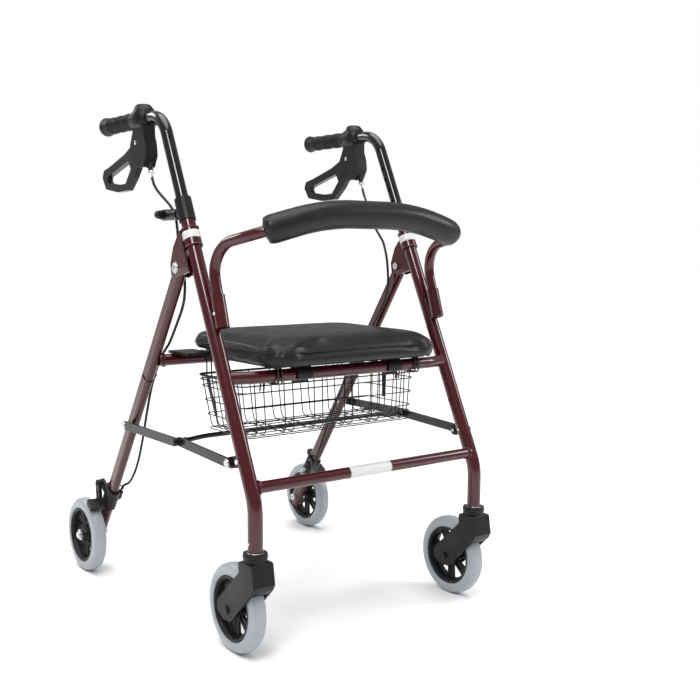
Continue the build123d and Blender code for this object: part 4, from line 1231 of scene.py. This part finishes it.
@dataclass
class Fasteners:
    """Small trim on each side: brace ears, washers, cap rings, brake springs and inner cables."""

    coils: int = 9
    coil_radius: float = 0.0034
    foot_z: float = 0.1846
    collar_z: float = 0.1770

    def domed_caps(self) -> None:
        """Adds bright rings to the visible bolt heads."""
        shells = {"front_frame": Shell(), "rear_frame": Shell()}
        spots = [("front_frame", 0.2660, SIZES.fold_y, SIZES.fold_z, 0.0102),
                 ("front_frame", 0.2656, -0.261, 0.324, 0.0078),
                 ("rear_frame", 0.2742, 0.115, 0.331, 0.0078),
                 ("rear_frame", 0.3000, SIZES.rear_axle_y, SIZES.axle_z, 0.0100)]
        for side in SIDES.values():
            for body, x, y, z, radius in spots:
                ring = np.array([(0.0, 0.55), (0.0006, 0.6), (0.0006, 0.96), (0.0003, 1.0),
                                 (-0.0002, 0.97), (-0.0002, 0.6)]) * [1.0, radius]
                turned(shells[body], (side * x, y, z), (side, 0.0, 0.0), ring, 40, closed=True)
        for body, shell in shells.items():
            dress(shell.build(f"washers_{body}"), BRIGHT_ZINC, body)

    def stem_washers(self) -> None:
        """Adds the bright thrust washer between each upright's foot and its caster."""
        rings = np.array([(0.0, 0.0098), (0.0013, 0.0100), (0.0013, 0.0136), (0.0007, 0.0142),
                          (0.0, 0.0136)])
        for name, side in SIDES.items():
            shell = Shell()
            place = (side * SIZES.upright_x, SIZES.stem_y, self.foot_z)
            turned(shell, place, Z_AXIS, rings, 48, closed=True)
            dress(shell.build(f"stem_washer_{name}"), BRIGHT_ZINC, f"caster_{name}")

    def fork_trim(self) -> None:
        """Adds the moulded ring round each caster's collar."""
        rings = np.array([(0.0, 0.0196), (0.0006, 0.0207), (0.0050, 0.0209), (0.0056, 0.0204),
                          (0.0056, 0.0196)])
        for name, side in SIDES.items():
            shell = Shell()
            place = (side * SIZES.upright_x, SIZES.stem_y, self.collar_z)
            turned(shell, place, Z_AXIS, rings, 56, closed=True)
            dress(shell.build(f"caster_ring_{name}"), MOULDED, f"caster_{name}")

    def brake_springs(self) -> None:
        """Adds each rear brake's return spring and the bare inner cable above its arm."""
        for name, side in SIDES.items():
            x = side * (SIZES.leg_x - CABLE_INSET)
            top = np.array([x, *SIZES.leg_point(0.5745, 0.004)])
            low = np.array([x, *SIZES.leg_point(0.6000, -0.006)])
            turns = np.linspace(0.0, 1.0, 160)
            angle = turns * self.coils * 2 * np.pi
            along = unit(low - top)
            across = np.array(X_AXIS)
            other = np.cross(along, across)
            helix = top + turns[:, None] * (low - top) + self.coil_radius * in_plane(angle, across, other)
            shell = Shell()
            sweep(shell, helix, 0.0006, 6, tuple(along))
            dress(shell.build(f"brake_spring_{name}"), BRIGHT_ZINC, "rear_frame")
            wire = Shell()
            run = [tuple(top), tuple((top + low) / 2), tuple(low), tuple(low + [0, 0.001, -0.004])]
            sweep(wire, spline(run, 12), 0.0009, 7)
            dress(wire.build(f"inner_cable_{name}"), CABLE_STEEL, "rear_frame")

    def brace_ears(self) -> None:
        """Makes the moulded ear behind each upright that the front brace turns on.

        The ear is a slot shape: two half circles joined by straight sides, with rolled edges.
        """
        start = np.array([-0.283, 0.3290])
        end = np.array([-0.261, 0.3240])
        angle = around(64)
        circle = np.stack([np.cos(angle), np.sin(angle)], -1)
        nearer = circle @ (end - start) > 0
        middle = np.where(nearer[:, None], end, start)
        places = [(0.2465, 0.0085), (0.2468, 0.0097), (0.2478, 0.0100), (0.2580, 0.0100),
                  (0.2588, 0.0097), (0.2590, 0.0085)]
        for name, side in SIDES.items():
            rows = [np.hstack([np.full((len(circle), 1), side * x), middle + radius * circle])
                    for x, radius in places]
            shell = Shell()
            shell.grid(np.array(rows))
            ear = dress(shell.build(f"brace_ear_{name}"), MOULDED, "front_frame")
            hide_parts(f"brace_clip_{name}")

    def build(self) -> None:
        """Makes all the fasteners' trim."""
        self.brace_ears()
        self.domed_caps()
        self.stem_washers()
        self.fork_trim()
        self.brake_springs()


# ------------------------------------------------------------------------- frame trim

@dataclass
class WeldBeads:
    """Rippled weld beads where the cross tubes and sockets meet the uprights and legs."""

    radius: float = 0.0021
    ripple: float = 0.00028
    waves: int = 34

    def saddle(self, shell: Shell, side: float, y: float, z: float, tube: float, offset: float) -> None:
        """Adds a bead on the curve where a cross tube meets a round post.

        Each point lies on the cross tube's circle, moved in to the post by the square root that
        its offset from the post's axis leaves.

        Args:
            shell: the shell that takes it.
            side: which side of the walker.
            y: the cross tube's y at the joint.
            z: its height.
            tube: its radius.
            offset: how far the cross tube's axis lies ahead of the post's.
        """
        angle = around(72)
        ring_y = (tube + 0.0006) * np.cos(angle)
        ring_z = (tube + 0.0006) * np.sin(angle)
        from_axis = np.clip(ring_y + offset, -SIZES.upright_radius * 0.98, SIZES.upright_radius * 0.98)
        reach = np.sqrt(SIZES.upright_radius ** 2 - from_axis ** 2)
        path = np.stack([side * (SIZES.upright_x - reach - 0.0004), y + ring_y, z + ring_z], -1)
        size = self.radius + self.ripple * np.sin(self.waves * angle)
        sweep(shell, path, size, 8, (1.0, 0.3, 0.2), closed=True)

    def flat_ring(self, shell: Shell, centre: Point, axis: np.ndarray, radius: float) -> None:
        """Adds a round bead in the plane across an axis.

        Args:
            shell: the shell that takes it.
            centre: its middle.
            axis: the axis.
            radius: its radius.
        """
        angle = around(72)
        across = unit(np.cross(axis, [0.3, 0.9, 0.1]))
        other = np.cross(axis, across)
        path = centre + radius * in_plane(angle, across, other)
        sweep(shell, path, self.radius * 0.8 + self.ripple * np.sin(self.waves * angle), 8, tuple(axis),
              closed=True)

    def build(self) -> None:
        """Makes the beads of the front and rear frames."""
        front = Shell()
        rear = Shell()
        lean = SIZES.lean_direction()
        for side in SIDES.values():
            self.saddle(front, side, SIZES.crossbar_y, SIZES.crossbar_z, SIZES.crossbar_radius, 0.003)
            for z in (0.6765, 0.7062):
                self.flat_ring(front, (side * SIZES.upright_x, SIZES.lean_y(z), z), lean, 0.0150)
            self.flat_ring(rear, (side * (SIZES.leg_x - 0.0088), SIZES.rear_bar_y, SIZES.rear_bar_z),
                           np.array(X_AXIS), SIZES.rear_bar_radius + 0.0006)
        dress(front.build("welds_front"), BURGUNDY, "front_frame")
        dress(rear.build("welds_rear"), BURGUNDY, "rear_frame")


@dataclass
class Labels:
    """Blank labels: one wrapped on the lower crossbar and one round each upright."""

    start_x: float = -0.051
    length: float = 0.092
    thickness: float = 0.00025
    sleeve_z: float = 0.688
    sleeve_radius: float = 0.0155

    def crossbar_label(self) -> None:
        """Makes the crossbar's label, an arc of the tube's own circle."""
        x = np.linspace(self.start_x, self.start_x + self.length, 24)
        angle = np.radians(np.linspace(70, 290, 40))
        radius = SIZES.crossbar_radius + self.thickness
        x, angle = np.meshgrid(x, angle, indexing="ij")
        points = np.stack([x, SIZES.crossbar_y + radius * np.cos(angle),
                           SIZES.crossbar_z + radius * np.sin(angle)], -1)
        self.finish(points, "label_crossbar")

    def upright_label(self, name: str, side: float) -> None:
        """Makes the label round an upright's sleeve.

        Args:
            name: the side's name.
            side: its sign.
        """
        along = np.linspace(0.0, 0.014, 8)
        angle = np.linspace(math.radians(-220), math.radians(70), 48)
        direction = SIZES.lean_direction()
        across = np.array(X_AXIS)
        other = np.cross(direction, across)
        start = np.array([side * SIZES.upright_x, SIZES.lean_y(self.sleeve_z), self.sleeve_z])
        radius = self.sleeve_radius + self.thickness
        rim = in_plane(angle, across * side, other)[None]
        self.finish(start + along[:, None, None] * direction + radius * rim, f"label_{name}")

    def finish(self, points: np.ndarray, name: str) -> None:
        """Turns a grid into a thin label.

        Args:
            points: the grid.
            name: the piece's name.
        """
        shell = Shell()
        shell.grid(points, ring=False)
        label = shell.build(name)
        wall = label.modifiers.new("wall", "SOLIDIFY")
        wall.thickness = self.thickness
        wall.offset = 0.0
        dress(label, BLANK_LABEL, "front_frame")

    def build(self) -> None:
        """Makes the labels."""
        self.crossbar_label()
        for name, side in SIDES.items():
            self.upright_label(name, side)


# ------------------------------------------------------------------------- handles

@dataclass
class Grip:
    """Ribbed rubber grip with finger waves, fine ridges and a flared end."""

    side: str
    start_y: float = 0.0898
    end_y: float = 0.2290
    height: float = 0.911
    core: float = 0.0110
    waves: int = 4
    ridge_count: int = 46

    def build(self) -> None:
        """Makes the grip: a wavy profile whose ridges fade towards both ends."""
        along = np.linspace(0.0, 1.0, 240)
        length = self.end_y - self.start_y
        flare = 0.0026 * np.clip((along - 0.84) / 0.16, 0, 1) ** 0.8
        body = 0.0154 + 0.0006 * np.cos(along * self.waves * 2 * np.pi) + flare
        ridges = 0.00032 * np.clip(np.sin(along * self.ridge_count * 2 * np.pi) * 2.2, -1, 1)
        ridges = ridges * np.clip(np.minimum(along - 0.07, 0.84 - along) * 30, 0, 1)
        round_start = np.sqrt(np.clip(along / 0.02, 0, 1))
        round_end = np.sqrt(np.clip((1.0 - along) / 0.02, 0.25, 1))
        radius = self.core + (body + ridges - self.core) * round_start * round_end
        profile = np.stack([along * length, np.minimum(radius, 0.0184)], -1)
        shell = Shell()
        turned(shell, (SIDES[self.side] * SIZES.upright_x, self.start_y, self.height), Y_AXIS,
               profile, 72, self.palm)
        grip = dress(shell.build(f"rubber_grip_{self.side}"), GRIP_RUBBER,
                     f"handle_{self.side}")
        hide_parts(f"grip_{self.side}")

    def palm(self, angle: np.ndarray, along: np.ndarray) -> np.ndarray:
        """Flattening of the section: cosine of twice the angle, strongest at mid length."""
        share = np.clip(along / (self.end_y - self.start_y), 0, 1)
        return -0.0004 * np.cos(2 * angle) * np.sin(share * np.pi)


@dataclass
class HandleTrim:
    """Round cap, cable adjuster and lever pin heads on a brake housing."""

    side: str
    housing_y: float = 0.068
    pin_z: float = 0.868
    cap_z: float = 0.8995
    cap_radius: float = 0.0240

    def build(self) -> None:
        """Makes the adjuster, the cap and the pin heads."""
        x = SIDES[self.side] * SIZES.upright_x
        axis = unit(np.array([0.0, -0.3, -1.0]))
        start = np.array([x, self.housing_y - 0.025, 0.830]) + axis * 0.0155
        profile = np.array([(0.0, 0.0046), (0.0004, 0.0054), (0.0052, 0.0054), (0.0056, 0.0046),
                            (0.0060, 0.0034), (0.0125, 0.0032), (0.0130, 0.0026)])
        shell = Shell()
        turned(shell, tuple(start), tuple(axis), profile, 30, self.knurl)
        dress(shell.build(f"cable_adjuster_{self.side}"), BRIGHT_ZINC,
              f"handle_{self.side}")
        self.dome(x)
        screws = Shell()
        head = np.array([(0.0, 0.0040), (0.0008, 0.0038), (0.0014, 0.0026), (0.0015, 0.0015),
                         (0.0009, 0.0013), (0.0008, 0.0004)])
        for face in (-1.0, 1.0):
            pin = (x + face * 0.0118, self.housing_y + 0.010, self.pin_z)
            turned(screws, pin, (face, 0.0, 0.0), head, 24)
        dress(screws.build(f"lever_pin_heads_{self.side}"), BRIGHT_ZINC,
              f"handle_{self.side}")

    def knurl(self, angle: np.ndarray, along: np.ndarray) -> np.ndarray:
        """Ten flats round the adjuster's wide ring: the sign of a sine, kept off the rest."""
        return 0.00025 * np.sign(np.sin(10 * angle)) * ((along > 0.0003) & (along < 0.0054))

    def dome(self, x: float) -> None:
        """Makes the housing's round cap, the upper half of an ellipse turned about Z.

        Args:
            x: where the handle lies across the walker.
        """
        turn = np.linspace(0.0, np.pi / 2, 22)[:-1]
        height = np.concatenate([[0.0, 0.0, 0.0012, 0.0090], 0.0100 + 0.0292 * np.sin(turn)])
        crown = self.cap_radius * np.cos(turn) ** 0.92
        radius = np.concatenate([[0.0060, 0.0226, 0.0238, self.cap_radius], crown])
        shell = Shell()
        centre = (x, self.housing_y - 0.004, self.cap_z)
        turned(shell, centre, Z_AXIS, np.stack([height, radius], -1), 64)
        dress(shell.build(f"housing_dome_{self.side}"), MOULDED, f"handle_{self.side}")


@dataclass
class BrakeCable:
    """One side's brake cable: housing to upright, upright to leg, and down the leg to the brake."""

    side: str
    radius: float = 0.0025
    slack: float = 0.0

    def mirror(self, points: list[Point]) -> list[Point]:
        """Points of the left side, moved to this side."""
        return [(SIDES[self.side] * x, y, z) for x, y, z in points]

    def build(self) -> None:
        """Makes the three stretches and the ties that hold them."""
        self.upper()
        self.middle()
        self.lower()
        self.ties()

    def tube(self, name: str, points: list[Point], samples: int) -> bpy.types.Object:
        """Makes a stretch of sheath.

        Args:
            name: the piece's name.
            points: control points for the left side.
            samples: rings along it.

        Returns:
            The undressed piece.
        """
        shell = Shell()
        sweep(shell, spline(self.mirror(points), samples), self.radius, 10, (1.0, 0.15, 0.1))
        return shell.build(f"{name}_{self.side}")

    def anchor(self) -> Point:
        """Middle of the free hanging cable, halfway between the handle and the rear leg."""
        return (0.238, -0.048, 0.690)

    def upper(self) -> None:
        """Stretch from the housing to its free middle, between the handle and the upright, on no body."""
        x = SIZES.upright_x
        start = (x, 0.034, 0.803)
        points = [start, (x, 0.029, 0.788), (x - 0.004, 0.012, 0.772), (x - 0.016, -0.006, 0.752),
                  (x - 0.020, -0.020, 0.733), (x - 0.014, -0.036, 0.710), self.anchor()]
        cable = self.tube("cable_to_upright", points, 64)
        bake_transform(cable)
        dress(cable, CABLE_SHEATH)
        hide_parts(f"cable_upper_{self.side}")

    def middle(self) -> None:
        """Stretch from the cable's free middle to the rear leg, across the fold, on no body."""
        x = SIZES.leg_x - CABLE_INSET
        foot = (x, *SIZES.leg_point(0.165, 0.010))
        points = [self.anchor(), (0.237, -0.060, 0.668), (0.2365, -0.066, 0.640), (0.236, -0.070, 0.600),
                  (0.236, -0.062, 0.570), (0.237, -0.040, 0.540), (x, *SIZES.leg_point(0.146, 0.013)), foot]
        cable = self.tube("cable_over_fold", points, 64)
        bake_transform(cable)
        dress(cable, CABLE_SHEATH)
        if self.side == "left":
            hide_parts("cable_middle")

    def lower(self) -> None:
        """Stretch down the inner side of the leg, bowed where it is slack."""
        x = SIZES.leg_x - CABLE_INSET
        places = [(0.165, 0.010, 0.0), (0.182, 0.004, 0.0), (0.200, -0.001, 0.0), (0.225, -0.004, 0.0),
                  (0.275, -0.004, 0.0), (0.330, 0.004 + 0.1 * self.slack, 0.1 * self.slack),
                  (0.400, 0.008 + 0.5 * self.slack, 0.5 * self.slack),
                  (0.470, 0.006 + 1.1 * self.slack, 0.9 * self.slack),
                  (0.535, 0.004 + 1.0 * self.slack, 0.6 * self.slack), (0.532, 0.004, 0.0),
                  (0.5555, 0.004, 0.0)]
        points = [(x - inward, *SIZES.leg_point(distance, forward)) for distance, forward, inward in places]
        cable = self.tube("cable_down_leg", points, 140)
        dress(cable, CABLE_SHEATH, "rear_frame")
        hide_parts(f"cable_lower_{self.side}")

    def ties(self) -> None:
        """Plastic ties round the leg with the cable inside them."""
        rear = Shell()
        along = unit(np.array([0.0, *(np.array(SIZES.leg_point(1.0)) - np.array(SIZES.leg_point(0.0)))]))
        for distance, forward in ((0.250, -0.004), (0.545, 0.004)):
            centre = np.array([SIZES.leg_x, *SIZES.leg_point(distance)])
            inner = np.array([SIZES.leg_x - CABLE_INSET, *SIZES.leg_point(distance, forward)])
            self.tie(rear, centre, inner, along, 0.0085, 0.0155)
        dress(rear.build(f"cable_ties_leg_{self.side}"), MOULDED, "rear_frame")

    def tie(self, shell: Shell, centre: np.ndarray, cable: np.ndarray, axis: np.ndarray, half_x: float,
            half_y: float) -> None:
        """Adds a strap round a tube and the cable beside it.

        The strap is the tube's own section, drawn out towards the cable by a bump that falls
        off with the angle from it.

        Args:
            shell: the shell that takes it.
            centre: the tube's axis, on the left side.
            cable: the cable's axis, on the left side.
            axis: direction of the tube.
            half_x: half of the tube's width across the walker.
            half_y: half of its depth.
        """
        across = np.array(X_AXIS)
        other = np.cross(axis, across)
        angle = around(64)
        offset = cable - centre
        aim = math.atan2(offset @ other, offset @ across)
        away = np.abs(np.angle(np.exp(1j * (angle - aim))))
        near = np.exp(-(away / 0.45) ** 2)
        radius = 1.0 / np.sqrt((np.cos(angle) / half_x) ** 2 + (np.sin(angle) / half_y) ** 2)
        reach = np.linalg.norm(offset - axis * (offset @ axis)) + self.radius + 0.0006
        radius = radius + 0.0006 + near * np.maximum(reach - radius, 0.0)
        path = centre + radius[:, None] * in_plane(angle, across, other)
        path[:, 0] *= SIDES[self.side]
        width = np.array([-0.0016, 0.0016, 0.0016, -0.0016])
        depth = np.array([-0.0004, -0.0004, 0.0005, 0.0005])
        middle = centre * [SIDES[self.side], 1.0, 1.0]
        outward = unit(path - middle)
        band = path[:, None, :] + width[None, :, None] * axis + depth[None, :, None] * outward[:, None, :]
        shell.grid(band, closed=True)


# ---------------------------------------------------------------------------- stage

@dataclass
class Stage:
    """Pale floor, soft light and the camera."""

    camera_place: Point = (-1.0661, -1.6210, 0.6764)
    azimuth: float = -36.89
    elevation: float = 6.07
    roll: float = 0.39
    focal: float = 50.08
    shift: tuple[float, float] = (0.0217, 0.0019)
    glow: float = 0.38
    sun_power: float = 2.7
    sun_spread: float = 60.0

    def camera(self) -> None:
        """Places the camera: its axes come from azimuth, elevation and roll."""
        turn, rise, roll = (math.radians(value) for value in (self.azimuth, self.elevation, self.roll))
        back = Vector((math.sin(turn) * math.cos(rise), -math.cos(turn) * math.cos(rise), math.sin(rise)))
        level = Vector((math.cos(turn), math.sin(turn), 0.0))
        upward = back.cross(level)
        right = math.cos(roll) * level + math.sin(roll) * upward
        over = -math.sin(roll) * level + math.cos(roll) * upward
        data = bpy.data.cameras.new("camera")
        data.sensor_width = 36.0
        data.lens = self.focal
        data.shift_x, data.shift_y = self.shift
        camera = bpy.data.objects.new("camera", data)
        bpy.context.scene.collection.objects.link(camera)
        turned_axes = Matrix((right, over, back)).transposed().to_4x4()
        camera.matrix_world = Matrix.Translation(self.camera_place) @ turned_axes
        bpy.context.scene.camera = camera

    def floor(self) -> None:
        """Makes the floor: a wide flat disc in matt white, very slightly uneven in tone."""
        rings = np.concatenate([[0.01], np.linspace(0.2, 3.0, 15), [6.0, 12.0, 30.0]])
        angle = around(96)
        points = np.stack([rings[:, None] * np.cos(angle), rings[:, None] * np.sin(angle),
                           np.full((len(rings), 96), -0.0002)], -1)
        shell = Shell()
        shell.grid(points, caps=False)
        floor = shell.build("floor", outward=False)
        if floor.data.polygons[0].normal.z < 0:
            floor.data.flip_normals()
        matt = Finish("floor_white", (0.93, 0.93, 0.93), (0.92, 0.92, 0.925), (0.75, 0.9), scale=20.0,
                      height=0.0, dust=0.0)
        floor.data.materials.append(matt.material())

    def lamp(self, name: str, place: Point, aim: Point, size: float, power: float) -> None:
        """Adds a soft square lamp.

        Args:
            name: its name.
            place: where it stands.
            aim: the point it faces.
            size: its side.
            power: watts.
        """
        data = bpy.data.lights.new(name, "AREA")
        data.shape = "SQUARE"
        data.size = size
        data.energy = power
        lamp = bpy.data.objects.new(name, data)
        bpy.context.scene.collection.objects.link(lamp)
        lamp.location = place
        lamp.rotation_euler = (Vector(aim) - Vector(place)).to_track_quat("-Z", "Y").to_euler()

    def light(self) -> None:
        """Sets a surround that is white to the eye and grey as light, a broad sun and three lamps."""
        world = bpy.data.worlds.new("studio")
        world.use_nodes = True
        tree = world.node_tree
        glow = tree.nodes["Background"]
        seen = tree.nodes.new("ShaderNodeBackground")
        for node, strength in ((glow, self.glow), (seen, 1.0)):
            node.inputs["Color"].default_value = (1.0, 1.0, 1.0, 1.0)
            node.inputs["Strength"].default_value = strength
        path = tree.nodes.new("ShaderNodeLightPath")
        either = tree.nodes.new("ShaderNodeMixShader")
        tree.links.new(path.outputs["Is Camera Ray"], either.inputs["Fac"])
        tree.links.new(glow.outputs["Background"], either.inputs[1])
        tree.links.new(seen.outputs["Background"], either.inputs[2])
        tree.links.new(either.outputs["Shader"], tree.nodes["World Output"].inputs["Surface"])
        bpy.context.scene.world = world
        sun = bpy.data.lights.new("sky", "SUN")
        sun.energy = self.sun_power
        sun.angle = math.radians(self.sun_spread)
        bpy.context.scene.collection.objects.link(bpy.data.objects.new("sky", sun))
        for name, place, aim_z, size, power in (("key", (-1.6, -1.5, 2.6), 0.4, 0.8, 34.0),
                                                ("side", (2.2, -1.4, 1.8), 0.5, 0.8, 20.0),
                                                ("rear", (-1.2, 2.2, 2.2), 0.5, 0.9, 20.0)):
            self.lamp(name, place, (0.0, 0.0, aim_z), size, power)
        bpy.context.scene.view_settings.view_transform = "Standard"

    def build(self) -> None:
        """Sets the stage."""
        self.camera()
        self.floor()
        self.light()


def main() -> None:
    """Builds the walker's looks in order."""
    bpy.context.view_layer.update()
    Stage().build()
    dress_nodes()
    SeatCushion().build()
    BackrestRoll().build()
    WireBasket().build()
    for name, side in SIDES.items():
        Wheel(f"front_{name}", f"front_wheel_{name}",
              (side * SIZES.upright_x, SIZES.front_axle_y, SIZES.axle_z)).build()
        Wheel(f"rear_{name}", f"rear_wheel_{name}",
              (side * SIZES.rear_wheel_x, SIZES.rear_axle_y, SIZES.axle_z)).build()
        Grip(name).build()
        HandleTrim(name).build()
        BrakeCable(name, slack=0.075 if name == "left" else 0.012).build()
    Fasteners().build()
    WeldBeads().build()
    Labels().build()


if __name__ == "__main__":
    main()
